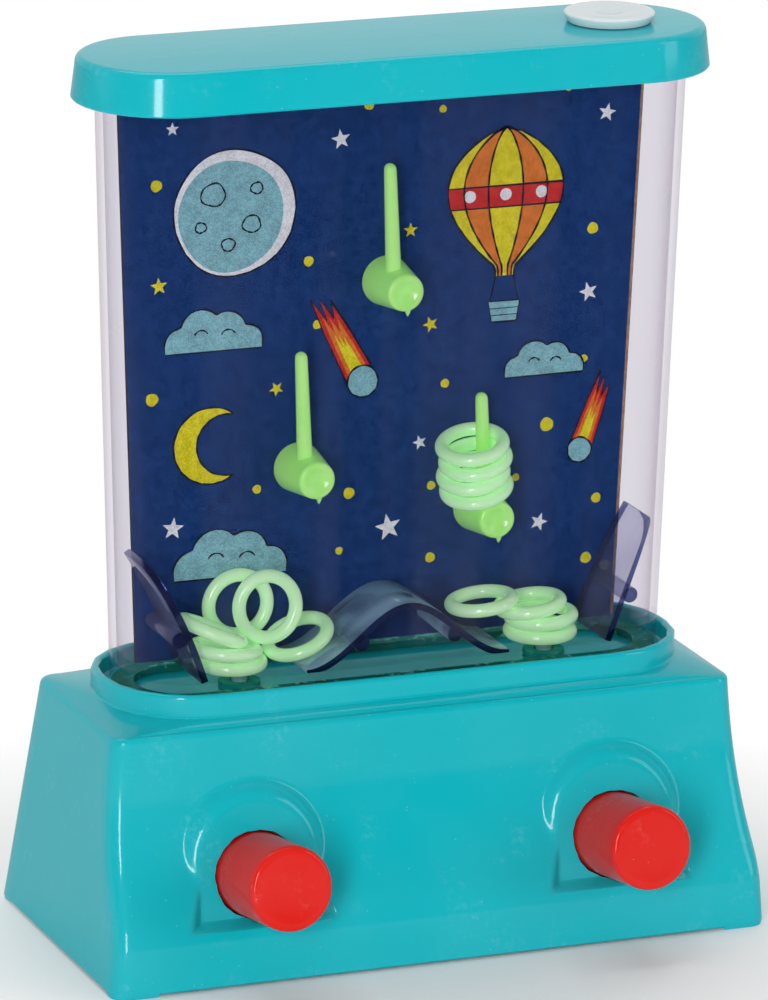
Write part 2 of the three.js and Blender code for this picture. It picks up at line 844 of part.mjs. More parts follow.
function pumpDuct() {
  const mouthS = pumpFrontS() - pump.length - fit;
  const chamberEnd = chamberS() - pump.chamberRadius;
  const body = [
    [0, chamberEnd],
    [pump.chamberRadius, chamberEnd],
    [pump.chamberRadius, mouthS - pump.ductFlange],
    [pump.ductFlangeRadius, mouthS - pump.ductFlange],
    [pump.ductFlangeRadius, mouthS],
    [0, mouthS],
  ];
  const chamberBore = pump.chamberRadius - pump.chamberWall;
  const hollow = [
    [0, chamberEnd + pump.chamberWall],
    [chamberBore, chamberEnd + pump.chamberWall],
    [chamberBore, mouthS + overrun],
    [0, mouthS + overrun],
  ];
  const shoulderHigh = cavityTopZ - fit;
  const shoulderLow = shoulderHigh - pump.shoulderHeight;
  const nozzleHigh = floorZ - rest;
  const shoulder = cylinderZ(pump.shoulderRadius, shoulderLow, shoulderHigh, jetX, jetY, 16);
  const nozzle = cylinderZ(pump.nozzleRadius, shoulderLow, nozzleHigh, jetX, jetY, 12);
  const nozzleBore = cylinderZ(pump.nozzleBore, shoulderLow, nozzleHigh + overrun, jetX, jetY, 8);
  const pipe = tube(ductPath(), pump.ductRadius, 8);
  const pipeBore = tube(ductPath(), pump.ductBore, 6);
  const outside = join(onButtonAxis(turned(body, innerSteps), 1), pipe, shoulder, nozzle);
  return cut(outside, onButtonAxis(turned(hollow, innerSteps), 1), pipeBore, nozzleBore);
}

function jetSealRing(side) {
  const low = wellFloorZ + rest;
  const high = low + gasket.height;
  const pairs = [
    [jetSeal.innerRadius, low],
    [jetSeal.radius, low],
    [jetSeal.radius, high],
    [jetSeal.innerRadius, high],
    [jetSeal.innerRadius, low],
  ];
  return turned(pairs, 16).translate(side * jetX, jetY, 0);
}

function bottomCover() {
  const highZ = cover.z + cover.thickness;
  const plate = loft([cover.z, highZ].map((z) => ({ ...housingSection(highZ, base.wall + fit), z })));
  const cradles = [-1, 1].map((side) => cradle(side, highZ));
  const holes = pillarSpots().map(([x, y]) =>
    cylinderZ(cover.screwHole, cover.z - overrun, highZ + overrun, x, y, 12),
  );
  return cut(join(plate, ...cradles), ...holes);
}

// A post of the cover under each duct's chamber
function cradle(side, coverTopZ) {
  const topZ = chamberZ() - pump.chamberRadius - fit - rest;
  return block(
    side * buttonX - cover.cradleHalf,
    side * buttonX + cover.cradleHalf,
    jetY - cover.cradleThickness / 2,
    jetY + cover.cradleThickness / 2,
    coverTopZ - cover.thickness / 2,
    topZ,
  );
}

function coverScrew([x, y]) {
  const headTop = cover.z - rest;
  const headLow = headTop - screw.headHeight;
  const pairs = [
    [0, headLow],
    [screw.headRadius * 0.8, headLow],
    [screw.headRadius, headLow + screw.headHeight / 2],
    [screw.headRadius, headTop],
    [screw.shankRadius, headTop],
    [screw.shankRadius, headTop + screw.length - screw.shankRadius],
    [0, headTop + screw.length],
  ];
  const half = screw.headRadius / 2;
  const slots = [
    block(-half, half, -screw.slotWidth / 2, screw.slotWidth / 2, headLow - overrun, headLow + screw.slotDepth),
    block(-screw.slotWidth / 2, screw.slotWidth / 2, -half, half, headLow - overrun, headLow + screw.slotDepth),
  ];
  return cut(turned(pairs, 12), ...slots).translate(x, y, 0);
}

// Finishes
const teal = { color: 0x00b7c4, roughness: 0.35, metalness: 0 };
const clear = { color: 0xcfd3e6, roughness: 0.08, metalness: 0, transparent: true, opacity: 0.3 };
const rampClear = { color: 0x8f96cf, roughness: 0.1, metalness: 0, transparent: true, opacity: 0.45 };
const red = { color: 0xdd1c08, roughness: 0.3, metalness: 0 };
const glowGreen = { color: 0x9fe696, roughness: 0.3, metalness: 0 };
const white = { color: 0xf2f3f0, roughness: 0.4, metalness: 0 };
const navy = { color: 0x0a2a68, roughness: 0.6, metalness: 0 };
const rubber = { color: 0x3a3a3c, roughness: 0.8, metalness: 0 };
const silicone = { color: 0x008e8c, roughness: 0.5, metalness: 0 };
const greyPlastic = { color: 0xb9bcc0, roughness: 0.5, metalness: 0 };
const steel = { color: 0xb4b6b8, roughness: 0.35, metalness: 1 };

const game = new THREE.Group();

function place(name, geometry, finish) {
  const mesh = new THREE.Mesh(geometry, new THREE.MeshStandardMaterial(finish));
  mesh.name = name;
  game.add(mesh);
  return mesh;
}

place("base_housing", baseHousing(), teal);
place("bottom_cover", bottomCover(), teal);
const screwNames = ["front_left", "back_left", "front_right", "back_right"];
pillarSpots().forEach((spot, i) => place(`cover_screw_${screwNames[i]}`, coverScrew(spot), steel));
place("tank_gasket", tankGasket(), silicone);
place("water_tank", waterTank(), clear);
place("lid_seal", lidSeal(), silicone);
place("lid", lidShell(), teal);
place("fill_plug", fillPlug(), white);
place("backing_card", backingCard(), navy);
for (const name of pegNames) place(name, pegSolid(pegPlace(name)), glowGreen);
const rampRight = rampEnd();
place("ramp_left", mirrored(rampRight), rampClear);
place("ramp_centre", rampCentre(), rampClear);
place("ramp_right", rampRight, rampClear);
const ductRight = pumpDuct();
for (const [word, side] of [["left", -1], ["right", 1]]) {
  place(`button_${word}`, buttonSolid(side), red);
  place(`pump_bellows_${word}`, pumpBellows(side), rubber);
  place(`pump_duct_${word}`, side > 0 ? ductRight : mirrored(ductRight), greyPlastic);
  place(`jet_seal_${word}`, jetSealRing(side), silicone);
}

// The two piles and the rings on the right peg: where each one's middle is
const pegRight = pegPlace("peg_right");
const pileMiddles = {
  left: { x: pile.leftInset - tank.length / 2, z: floorZ },
  right: { x: tank.length / 2 - pile.rightInset, z: floorZ },
  peg: pegRight,
};

// Where each ring lies in its pile, as shares of its outer radius, and how many degrees its near side dips and
// its right side lifts
const ringPlaceShares = [
  { pile: "left", xShare: -0.0435, yShare: 0.0383, liftShare: 0.2104, dip: 0.6, raise: -1.3 },
  { pile: "left", xShare: -0.2435, yShare: -0.1322, liftShare: 0.6104, dip: -2.7, raise: -5.5 },
  { pile: "left", xShare: -0.6174, yShare: -0.1357, liftShare: 1.1443, dip: -3.3, raise: -23.5 },
  { pile: "left", xShare: 1.8435, yShare: -0.0278, liftShare: 0.713, dip: 8.9, raise: 23.3 },
  { pile: "left", xShare: 0.5061, yShare: 0.9339, liftShare: 1.4504, dip: 90.7, raise: 1.2 },
  { pile: "left", xShare: 0.9304, yShare: -0.1496, liftShare: 1.6539, dip: 59.1, raise: 42.3 },
  { pile: "right", xShare: -0.047, yShare: 0.0313, liftShare: 0.1913, dip: 0, raise: 0 },
  { pile: "right", xShare: -0.0626, yShare: -0.0696, liftShare: 0.6191, dip: 0, raise: 3.8 },
  { pile: "right", xShare: -0.3722, yShare: -0.007, liftShare: 0.967, dip: -0.9, raise: 8 },
  { pile: "right", xShare: -1.7583, yShare: 0.0209, liftShare: 1.16, dip: -1.1, raise: 7 },
  { pile: "peg", xShare: -0.4139, yShare: 0.1478, liftShare: 0.8087, dip: 11.8, raise: 13.9 },
  { pile: "peg", xShare: -0.5113, yShare: 0.1478, liftShare: 1.2017, dip: 11.9, raise: 12.2 },
  { pile: "peg", xShare: -0.4661, yShare: 0.1165, liftShare: 1.5983, dip: 12.1, raise: 12.8 },
  { pile: "peg", xShare: -0.5513, yShare: 0.1478, liftShare: 2.0052, dip: 11.9, raise: 11.1 },
];
const ringRadius = ring.centreRadius + ring.tubeRadius;
const ringMiddleY = (frontWallY + cardY) / 2;
ringPlaceShares.forEach((spot, i) => {
  const torus = new THREE.TorusGeometry(ring.centreRadius, ring.tubeRadius, 6, 20);
  const mesh = place(`ring_${String(i + 1).padStart(2, "0")}`, torus, glowGreen);
  const middle = pileMiddles[spot.pile];
  mesh.rotation.set(THREE.MathUtils.degToRad(spot.dip), -THREE.MathUtils.degToRad(spot.raise), 0, "XYZ");
  mesh.position.set(
    middle.x + spot.xShare * ringRadius,
    ringMiddleY + spot.yShare * ringRadius,
    middle.z + spot.liftShare * ringRadius,
  );
});

// The pieces are laid out about the middle of the base, then moved so that the whole object is centred
const middle = new THREE.Box3().setFromObject(game, true).getCenter(new THREE.Vector3());
for (const piece of game.children) piece.position.y -= middle.y;

export default game;
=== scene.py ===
"""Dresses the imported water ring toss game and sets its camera, light and floor."""

import logging
import math
from dataclasses import dataclass
from enum import Enum
from functools import cache
from typing import Callable, Iterable, Sequence, Union

import bmesh
import bpy
import numpy as np
from mathutils import Matrix, Vector
from mathutils.geometry import tessellate_polygon


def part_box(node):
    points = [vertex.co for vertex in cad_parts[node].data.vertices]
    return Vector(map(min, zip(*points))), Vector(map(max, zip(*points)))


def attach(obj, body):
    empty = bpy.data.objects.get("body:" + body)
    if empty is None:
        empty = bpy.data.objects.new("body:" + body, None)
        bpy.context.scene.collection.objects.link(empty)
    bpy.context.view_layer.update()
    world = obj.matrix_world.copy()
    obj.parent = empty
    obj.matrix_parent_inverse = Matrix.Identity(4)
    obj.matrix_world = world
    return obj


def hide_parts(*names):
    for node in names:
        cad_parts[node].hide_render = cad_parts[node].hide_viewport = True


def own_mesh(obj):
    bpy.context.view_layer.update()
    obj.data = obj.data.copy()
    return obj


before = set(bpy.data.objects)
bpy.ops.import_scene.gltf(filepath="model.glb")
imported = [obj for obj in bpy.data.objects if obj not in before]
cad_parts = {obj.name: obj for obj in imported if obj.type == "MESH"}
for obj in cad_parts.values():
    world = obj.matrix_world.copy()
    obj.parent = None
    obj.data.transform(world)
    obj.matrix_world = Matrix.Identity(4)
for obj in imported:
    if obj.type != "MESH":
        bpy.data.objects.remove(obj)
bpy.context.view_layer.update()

log = logging.getLogger("ring_toss")
logging.basicConfig(level=logging.INFO, format="%(message)s")

MM = 0.001
TURN = 2 * math.pi
# A radius in mm that stands for a point on an axis
TIP = 0.0005
# How far an outline's round ends stay short of half its depth, in mm
SLIVER = 0.001
# How far a cutting tool reaches past the wall that it cuts, in mm
OVERRUN = 1.0
# How far each layer of ink lies over the one below it, in mm
LAYER = 0.012
Point = tuple[float, float, float]
Flat = tuple[float, float]
Colour = tuple[float, float, float]
Place = Callable[[float, float, float], Point]

# How far, in mm, the layout's middle lies behind the frame's origin
lid_low, lid_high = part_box("lid")
SHIFT_Y = (lid_low.y + lid_high.y) / 2 / MM


def linear(*channels: int) -> Colour:
    """Turns a display colour, its red, green and blue from 0 to 255, into a linear one."""
    shares = [channel / 255 for channel in channels]
    return tuple(s / 12.92 if s <= 0.04045 else ((s + 0.055) / 1.055) ** 2.4 for s in shares)


def mixed(first: Colour, second: Colour, share: float) -> Colour:
    """Returns the colour that lies the given share of the way from first to second."""
    return tuple(a + (b - a) * share for a, b in zip(first, second))


# Node maths


class Wire:
    """A node socket that takes part in Python expressions."""

    def __init__(self, nodes: "Nodes", socket: bpy.types.NodeSocket) -> None:
        """Wraps a socket of one tree."""
        self.nodes = nodes
        self.socket = socket

    def _maths(self, kind: str, first: "Value", second: "Value") -> "Wire":
        """Adds a Math node and returns its result."""
        return self.nodes.node("ShaderNodeMath", {"operation": kind}, {0: first, 1: second})

    def __add__(self, other: "Value") -> "Wire":
        """Returns the sum."""
        return self._maths("ADD", self, other)

    __radd__ = __add__

    def __sub__(self, other: "Value") -> "Wire":
        """Returns the difference."""
        return self._maths("SUBTRACT", self, other)

    def __rsub__(self, other: "Value") -> "Wire":
        """Returns the reflected difference."""
        return self._maths("SUBTRACT", other, self)

    def __mul__(self, other: "Value") -> "Wire":
        """Returns the product."""
        return self._maths("MULTIPLY", self, other)

    __rmul__ = __mul__

    def power(self, exponent: float) -> "Wire":
        """Returns the value raised to a power."""
        return self._maths("POWER", self, exponent)

    def larger(self, other: "Value") -> "Wire":
        """Returns the larger of two values."""
        return self._maths("MAXIMUM", self, other)

    def ramp(self, low: float, high: float) -> "Wire":
        """Returns 0 at low and 1 at high, straight between them and held outside."""
        inputs = {"Value": self, "From Min": low, "From Max": high}
        return self.nodes.node("ShaderNodeMapRange", {"clamp": True}, inputs)


Value = Union[Wire, float]
Tint = Union[Wire, Colour]


class Nodes:
    """A node tree to which any node is added in one call."""

    def __init__(self, tree: bpy.types.NodeTree) -> None:
        """Wraps a node tree."""
        self.tree = tree

    def node(self, kind: str, settings: dict, inputs: dict, output: Union[int, str] = 0) -> Wire:
        """Adds any node.

        Args:
            kind: The node's type.
            settings: Its properties, set first.
            inputs: Values or wires for its sockets, by name or number.
            output: The socket that is returned.

        Returns:
            The chosen output as a wire.
        """
        node = self.tree.nodes.new(kind)
        for key, value in settings.items():
            setattr(node, key, value)
        for key, value in inputs.items():
            socket = node.inputs[key]
            if isinstance(value, Wire):
                self.tree.links.new(value.socket, socket)
            else:
                socket.default_value = (*value, 1) if socket.type == "RGBA" else value
        return Wire(self, node.outputs[output])

    def layered(self, share: Value, under: Wire, over: Wire) -> Wire:
        """Returns a Mix Shader of two surfaces or backgrounds."""
        return self.node("ShaderNodeMixShader", {}, {0: share, 1: under, 2: over})

    def close(self, kind: str, result: Wire) -> None:
        """Links the result to the first socket of an output node."""
        self.tree.links.new(result.socket, self.tree.nodes.new(kind).inputs[0])


class Shader(Nodes):
    """One material's node tree."""

    def __init__(self, name: str) -> None:
        """Makes an empty material.

        Args:
            name: The material's name.
        """
        self.material = bpy.data.materials.new(name)
        self.material.use_nodes = True
        super().__init__(self.material.node_tree)
        self.tree.nodes.clear()
        self.place = self.node("ShaderNodeTexCoord", {}, {}, "Object")

    def noise(self, scale: float, detail: float = 2.0, rough: float = 0.5) -> Wire:
        """Returns a noise value with features of about 1 / scale metres."""
        inputs = {"Vector": self.place, "Scale": scale, "Detail": detail, "Roughness": rough}
        return self.node("ShaderNodeTexNoise", {}, inputs)

    def streaks(self, scale: float) -> Wire:
        """Makes a noise that is drawn out upwards.

        Args:
            scale: Its features are about 1 / scale metres wide.

        Returns:
            The noise value.
        """
        stretch = {0: self.place, 1: (1, 1, 0.03)}
        upright = self.node("ShaderNodeVectorMath", {"operation": "MULTIPLY"}, stretch)
        return self.node("ShaderNodeTexNoise", {}, {"Vector": upright, "Scale": scale, "Detail": 2.0})

    def specks(self, scale: float, size: float) -> Wire:
        """Returns small round dots, about scale of them on a metre."""
        inputs = {"Vector": self.place, "Scale": scale}
        return 1 - self.node("ShaderNodeTexVoronoi", {"feature": "F1"}, inputs).ramp(size * 0.5, size)

    def blend(self, share: Value, first: Tint, second: Tint) -> Wire:
        """Returns a mix of two colours."""
        return self.node("ShaderNodeMix", {"data_type": "RGBA"}, {0: share, 6: first, 7: second}, 2)

    def bump(self, height: Value, depth: float) -> Wire:
        """Returns a normal bent by a height, depth metres deep."""
        return self.node("ShaderNodeBump", {}, {"Height": height, "Distance": depth, "Strength": 1.0})

    def principled(self, inputs: dict) -> Wire:
        """Adds a Principled shader."""
        return self.node("ShaderNodeBsdfPrincipled", {}, inputs)

    def finish(self, surface: Wire) -> bpy.types.Material:
        """Links the surface and returns the material."""
        self.close("ShaderNodeOutputMaterial", surface)
        return self.material


# Finishes


@dataclass(frozen=True)
class Finish:
    """A surface finish, known by its material's name."""

    name: str

    def make(self) -> bpy.types.Material:
        """Returns the finish as a new material."""
        raise NotImplementedError


@cache
def material(finish: Finish) -> bpy.types.Material:
    """Returns a finish's material, made at the first call."""
    return finish.make()


@dataclass(frozen=True)
class MouldedPlastic(Finish):
    """Solid glossy plastic with faint orange peel, scuffs and specks."""

    colour: Colour
    worn: Colour
    roughness: float = 0.28
    scuffs: float = 0.35
    coat: float = 0.42

    def make(self) -> bpy.types.Material:
        """Builds the nodes.

        Returns:
            The material.
        """
        shader = Shader(self.name)
        cloud = shader.noise(38, 3)
        streaks = shader.noise(900, 2, 0.7)
        patches = shader.noise(120, 3).ramp(0.56, 0.72)
        specks = shader.specks(700, 0.1) * shader.noise(260, 1).ramp(0.52, 0.6)
        wear = patches * streaks.ramp(0.48, 0.75) * self.scuffs * 0.5 + specks * self.scuffs
        base = shader.blend(cloud.ramp(0.3, 0.7), self.colour, mixed(self.colour, self.worn, 0.05))
        return shader.finish(shader.principled({
            "Base Color": shader.blend(wear, base, self.worn),
            "Roughness": self.roughness + wear * 0.3 + cloud * 0.05,
            "Normal": shader.bump(shader.noise(420, 2) + streaks * 0.25, 0.00002),
            "Coat Weight": self.coat,
            "Coat Roughness": 0.1,
            "Specular IOR Level": 0.04,
            "IOR": 1.5,
        }))


@dataclass(frozen=True)
class GlowPlastic(Finish):
    """Milky green plastic that lets a little light through, with a painted glow: it gives off its own colour
    as light, which lifts its shade.
    """

    colour: Colour
    deep: Colour
    glow: float

    def make(self) -> bpy.types.Material:
        """Builds the nodes.

        Returns:
            The material.
        """
        shader = Shader(self.name)
        milk = shader.noise(300, 2)
        return shader.finish(shader.principled({
            "Base Color": shader.blend(shader.noise(90, 4).ramp(0.35, 0.7), self.colour, self.deep),
            "Roughness": 0.2 + milk * 0.1,
            "Normal": shader.bump(milk, 0.00003),
            "Coat Weight": 0.5,
            "Coat Roughness": 0.06,
            "Subsurface Weight": 0.6,
            "Subsurface Radius": (0.002, 0.004, 0.0015),
            "Subsurface Scale": 1.0,
            # Painted glow: the part gives off its own colour as light, which brightens its shaded sides.
            "Emission Color": self.colour,
            "Emission Strength": self.glow,
            "IOR": 1.49,
        }))


@dataclass(frozen=True)
class ClearPlastic(Finish):
    """Clear moulded plastic: a gloss over what lies behind it, stronger where it is seen along its face, with
    painted reflections: upright streaks, pale sheen patches and a pink tint along the bands.
    """

    through: Colour
    face: Colour
    edge: Colour
    share: float
    rim: float
    # Strength of the painted reflections: upright streaks of gloss.
    streaks: float
    metal: float = 1.0
    # Strength of the painted sheen: pale gloss in noise patches.
    cloud: float = 0.0
    # How far the edge colour turns pink along the bands, a painted pink reflection.
    blush: float = 0.0
    scratches: float = 0.15

    def make(self) -> bpy.types.Material:
        """Builds the nodes.

        Returns:
            The material.
        """
        shader = Shader(self.name)
        facing = shader.node("ShaderNodeLayerWeight", {}, {"Blend": 0.5}, "Facing")
        marks = shader.noise(700, 2, 0.8).ramp(0.62, 0.8) * shader.noise(60, 2).ramp(0.45, 0.7)
        # Upright bands that place the painted reflection streaks and the painted pink tint.
        reflection_bands = shader.streaks(150.0)
        streaks = reflection_bands.ramp(0.46, 0.66) * facing.power(1.6) * self.streaks
        # Painted sheen: pale gloss in noise patches where the surface is seen along its face.
        sheen = shader.noise(75, 2).ramp(0.44, 0.6) * facing * self.cloud
        rim = facing.power(3.0) * self.rim
        cover = self.share + rim + streaks + sheen + marks * self.scratches * 0.08
        # Painted reflection: the edge colour turns pink along the bands.
        painted_pink = mixed(self.edge, linear(214, 140, 150), self.blush)
        side = shader.blend(reflection_bands.ramp(0.42, 0.58), self.edge, painted_pink)
        gloss = shader.principled({
            "Base Color": shader.blend(facing, self.face, side),
            "Metallic": self.metal,
            "Roughness": 0.06 + marks * self.scratches,
            "Normal": shader.bump(shader.noise(160, 2), 0.00002),
        })
        clear = shader.node("ShaderNodeBsdfTransparent", {}, {"Color": self.through})
        return shader.finish(shader.layered(cover.ramp(0.0, 1.0), clear, gloss))


@dataclass(frozen=True)
class PrintInk(Finish):
    """Ink on the card, with fine print grain."""

    colour: Colour
    grain: float = 0.1

    def make(self) -> bpy.types.Material:
        """Builds the nodes.

        Returns:
            The material.
        """
        shader = Shader(self.name)
        dots = shader.noise(5200, 1)
        mottle = shader.noise(700, 3)
        lighter = tuple(min(1.25 * c, 0.9) for c in self.colour)
        pale = mixed(lighter, linear(120, 190, 210), self.grain * 0.3)
        dark = tuple(c * (1 - 2.5 * self.grain) for c in self.colour)
        ink = shader.blend(dots.ramp(0.4, 0.6) * 0.6 + mottle.ramp(0.35, 0.65) * 0.4, dark, pale)
        scratch = shader.noise(160, 5, 0.8).ramp(0.66, 0.7) * 0.05
        return shader.finish(shader.principled({
            "Base Color": shader.blend(scratch + mottle * 0.012, ink, linear(200, 205, 215)),
            "Roughness": 0.42 + mottle * 0.15,
            "Normal": shader.bump(dots, 0.00001),
            "Specular IOR Level": 0.04,
        }))


@dataclass(frozen=True)
class SoftRubber(Finish):
    """Matt rubber or silicone."""

    colour: Colour
    roughness: float

    def make(self) -> bpy.types.Material:
        """Builds the nodes.

        Returns:
            The material.
        """
        shader = Shader(self.name)
        dust = shader.noise(500, 4)
        return shader.finish(shader.principled({
            "Base Color": shader.blend(dust.ramp(0.45, 0.8) * 0.3, self.colour, linear(215, 215, 215)),
            "Roughness": self.roughness + dust * 0.15,
            "Normal": shader.bump(dust, 0.00004),
        }))


@dataclass(frozen=True)
class WetSilicone(Finish):
    """Silicone seen through the tank's floor, with painted light: green patches and pale glints that stand
    for light gathered by the floor.
    """

    colour: Colour
    # The green of the painted light patches; the next colour is the pale of the painted glints.
    patch: Colour
    glint: Colour

    def make(self) -> bpy.types.Material:
        """Builds the nodes.

        Returns:
            The material.
        """
        shader = Shader(self.name)
        # Painted light: green patches and pale glints, as if light were gathered through the floor.
        patches = shader.noise(130, 3, 0.6).ramp(0.46, 0.6)
        painted_glint_mask = shader.noise(380, 3, 0.7).ramp(0.54, 0.62) * shader.noise(90, 1).ramp(0.45, 0.55)
        base = shader.blend(patches * 0.7, self.colour, self.patch)
        return shader.finish(shader.principled({
            "Base Color": shader.blend(painted_glint_mask * 0.8, base, self.glint),
            "Roughness": 0.35 + patches * 0.15,
            "Normal": shader.bump(patches, 0.00004),
            "Specular IOR Level": 0.1,
        }))


@dataclass(frozen=True)
class PlatedSteel(Finish):
    """Bright plated screw steel with turning marks."""

    def make(self) -> bpy.types.Material:
        """Builds the nodes.

        Returns:
            The material.
        """
        shader = Shader(self.name)
        marks = shader.noise(1800, 3)
        return shader.finish(shader.principled({
            "Base Color": shader.blend(marks, linear(170, 172, 176), linear(205, 206, 208)),
            "Metallic": 1.0,
            "Roughness": 0.25 + marks * 0.2,
            "Normal": shader.bump(marks, 0.00002),
        }))


TEAL = MouldedPlastic("teal_plastic", linear(0, 178, 190), linear(150, 222, 228))
RED = MouldedPlastic("red_plastic", linear(218, 14, 0), linear(250, 170, 165), 0.3, 0.4, 0.3)
WHITE = MouldedPlastic("white_plastic", linear(222, 232, 234), linear(205, 208, 206), 0.4, 0.2)
GREY = MouldedPlastic("grey_plastic", linear(186, 190, 194), linear(225, 225, 225), 0.5, 0.2)
# The last number of each green is the strength of its painted glow.
GREEN = GlowPlastic("glow_green_plastic", linear(172, 236, 130), linear(156, 228, 112), 0.24)
MINT = GlowPlastic("pale_green_plastic", linear(200, 250, 192), linear(180, 243, 172), 0.22)
# In the clear finishes, the streaks, the cloud and the pink tint are painted reflections and sheen.
CLEAR = ClearPlastic(
    "clear_plastic", (0.92, 0.912, 0.932), linear(236, 232, 246), linear(156, 152, 192),
    share=0.0015, rim=0.46, streaks=0.3, blush=0.75,
)
CLEAR_FLOOR = ClearPlastic(
    "clear_plastic_floor", (0.72, 0.985, 0.975), linear(236, 246, 246), linear(170, 232, 228),
    share=0.001, rim=0.01, streaks=0.02,
)
HUMP = ClearPlastic(
    "lilac_clear_plastic", (0.8, 0.85, 0.93), linear(176, 204, 236), linear(180, 222, 240),
    share=0.03, rim=0.7, streaks=0.1, metal=0.3, cloud=1.8,
)
LILAC = ClearPlastic(
    "lilac_clear_plastic_thin", (0.84, 0.84, 0.92), linear(196, 200, 226), linear(170, 176, 214),
    share=0.02, rim=0.55, streaks=0.2, metal=0.5, cloud=0.22,
)
EDGE = ClearPlastic(
    "lilac_clear_edge", (0.16, 0.2, 0.42), linear(44, 56, 112), linear(80, 92, 146),
    share=0.25, rim=0.45, streaks=0.1,
)
RUBBER = SoftRubber("dark_rubber", linear(60, 60, 62), 0.7)
SILICONE = SoftRubber("teal_silicone", linear(0, 142, 140), 0.5)
# Its green and pale colours are painted light: patches and glints under the tank's floor.
UNDER_FLOOR = WetSilicone(
    "teal_silicone_under_floor", linear(0, 122, 120), linear(6, 104, 52), linear(190, 244, 220)
)
STEEL = PlatedSteel("plated_steel")
BOARD = PrintInk("card_board", linear(168, 130, 104), 0.2)
INKS = {
    "white": PrintInk("ink_white", linear(226, 230, 236)),
    "yellow": PrintInk("ink_yellow", linear(214, 204, 22)),
    "orange": PrintInk("ink_orange", linear(214, 116, 30)),
    "red": PrintInk("ink_red", linear(196, 34, 28)),
    "pale_blue": PrintInk("ink_pale_blue", linear(128, 180, 188), 0.12),
    "line": PrintInk("ink_line", linear(16, 20, 34), 0.02),
    "board": BOARD,
}
NAVY = PrintInk("ink_navy", linear(4, 46, 106), 0.12)


# Meshes, in mm about the middle of the base


class Shape:
    """A growing mesh of points and faces."""

    def __init__(self) -> None:
        """Starts empty."""
        self.points: list[Point] = []
        self.faces: list[tuple[int, ...]] = []
        self.slots: list[int] = []

    def add(self, points: Iterable[Point], faces: Iterable[Sequence[int]], slot: int = 0) -> None:
        """Adds points with their faces.

        Args:
            points: The points.
            faces: Faces that count from the first of these points.
            slot: The material slot of the faces.
        """
        start = len(self.points)
        self.points.extend(points)
        for face in faces:
            self.faces.append(tuple(start + i for i in face))
            self.slots.append(slot)

    def loft(self, rings: Sequence[Sequence[Point]]) -> None:
        """Joins rings of equal length and caps both ends.

        Args:
            rings: The rings in order, counter-clockwise from the side that the loft grows to.
        """
        count = len(rings[0])
        faces: list[tuple[int, ...]] = []
        for low in range(0, (len(rings) - 1) * count, count):
            for i in range(count):
                j = (i + 1) % count
                faces.append((low + i, low + j, low + count + j, low + count + i))
        faces.append(tuple(range(count - 1, -1, -1)))
        faces.append(tuple((len(rings) - 1) * count + i for i in range(count)))
        self.add([p for ring in rings for p in ring], faces)

    def piece(self, name: str, finishes: Sequence[Finish] = (), smooth: float = 35) -> bpy.types.Object:
        """Makes an object at the origin, in metres and in the frame's place.

        Args:
            name: The object's name.
            finishes: The finishes of its material slots.
            smooth: The angle in degrees up to which edges are shaded smooth.

        Returns:
            The new object.
        """
        mesh = bpy.data.meshes.new(name)
        placed = [(x * MM, (y + SHIFT_Y) * MM, z * MM) for x, y, z in self.points]
        mesh.from_pydata(placed, [], self.faces)
        for finish in finishes:
            mesh.materials.append(material(finish))
        mesh.polygons.foreach_set("material_index", self.slots)
        mesh.update()
        return finished(name, mesh, smooth)


def shaded(mesh: bpy.types.Mesh, smooth: float) -> None:
    """Shades a mesh smooth up to an angle in degrees."""
    mesh.shade_smooth()
    mesh.set_sharp_from_angle(angle=math.radians(smooth))


def finished(name: str, mesh: bpy.types.Mesh, smooth: float) -> bpy.types.Object:
    """Links a mesh as an object, with its doubles merged.

    Args:
        name: The object's name.
        mesh: The mesh.
        smooth: The angle in degrees up to which edges are shaded smooth.

    Returns:
        The new object.
    """
    work = bmesh.new()
    work.from_mesh(mesh)
    bmesh.ops.remove_doubles(work, verts=work.verts, dist=0.000002)
    work.to_mesh(mesh)
    work.free()
    shaded(mesh, smooth)
    piece = bpy.data.objects.new(name, mesh)
    bpy.context.scene.collection.objects.link(piece)
    return piece


def modified(piece: bpy.types.Object) -> bpy.types.Mesh:
    """Evaluates a piece and clears its modifiers.

    Args:
        piece: The piece with its modifiers.

    Returns:
        The plain mesh.
    """
    bpy.context.view_layer.update()
    evaluated = piece.evaluated_get(bpy.context.evaluated_depsgraph_get())
    mesh = bpy.data.meshes.new_from_object(evaluated)
    piece.modifiers.clear()
    return mesh


def rebuild(piece: bpy.types.Object, smooth: float) -> None:
    """Puts what a piece's modifiers do into its mesh.

    Args:
        piece: The piece with its modifiers.
        smooth: The angle in degrees up to which edges are shaded smooth.
    """
    old = piece.data
    piece.data = modified(piece)
    bpy.data.meshes.remove(old)
    shaded(piece.data, smooth)


def carve(piece: bpy.types.Object, tools: Sequence[bpy.types.Object], smooth: float) -> None:
    """Cuts tools out of a piece and removes them.

    Args:
        piece: The piece.
        tools: The solids that are cut out.
        smooth: The angle in degrees up to which edges are shaded smooth.
    """
    for tool in tools:
        modifier = piece.modifiers.new("cut", "BOOLEAN")
        modifier.operation = "DIFFERENCE"
        modifier.solver = "EXACT"
        modifier.object = tool
    rebuild(piece, smooth)
    for tool in tools:
        bpy.data.objects.remove(tool)


def bevelled(piece: bpy.types.Object, width: float, angle: float) -> None:
    """Rounds a piece's sharp edges.

    Args:
        piece: The piece.
        width: The width of the rounding in mm.
        angle: The angle in degrees from which an edge is sharp.
    """
    modifier = piece.modifiers.new("edges", "BEVEL")
    modifier.width = width * MM
    modifier.segments = 2
    modifier.limit_method = "ANGLE"
    modifier.angle_limit = math.radians(angle)
    modifier.harden_normals = False
    rebuild(piece, angle)


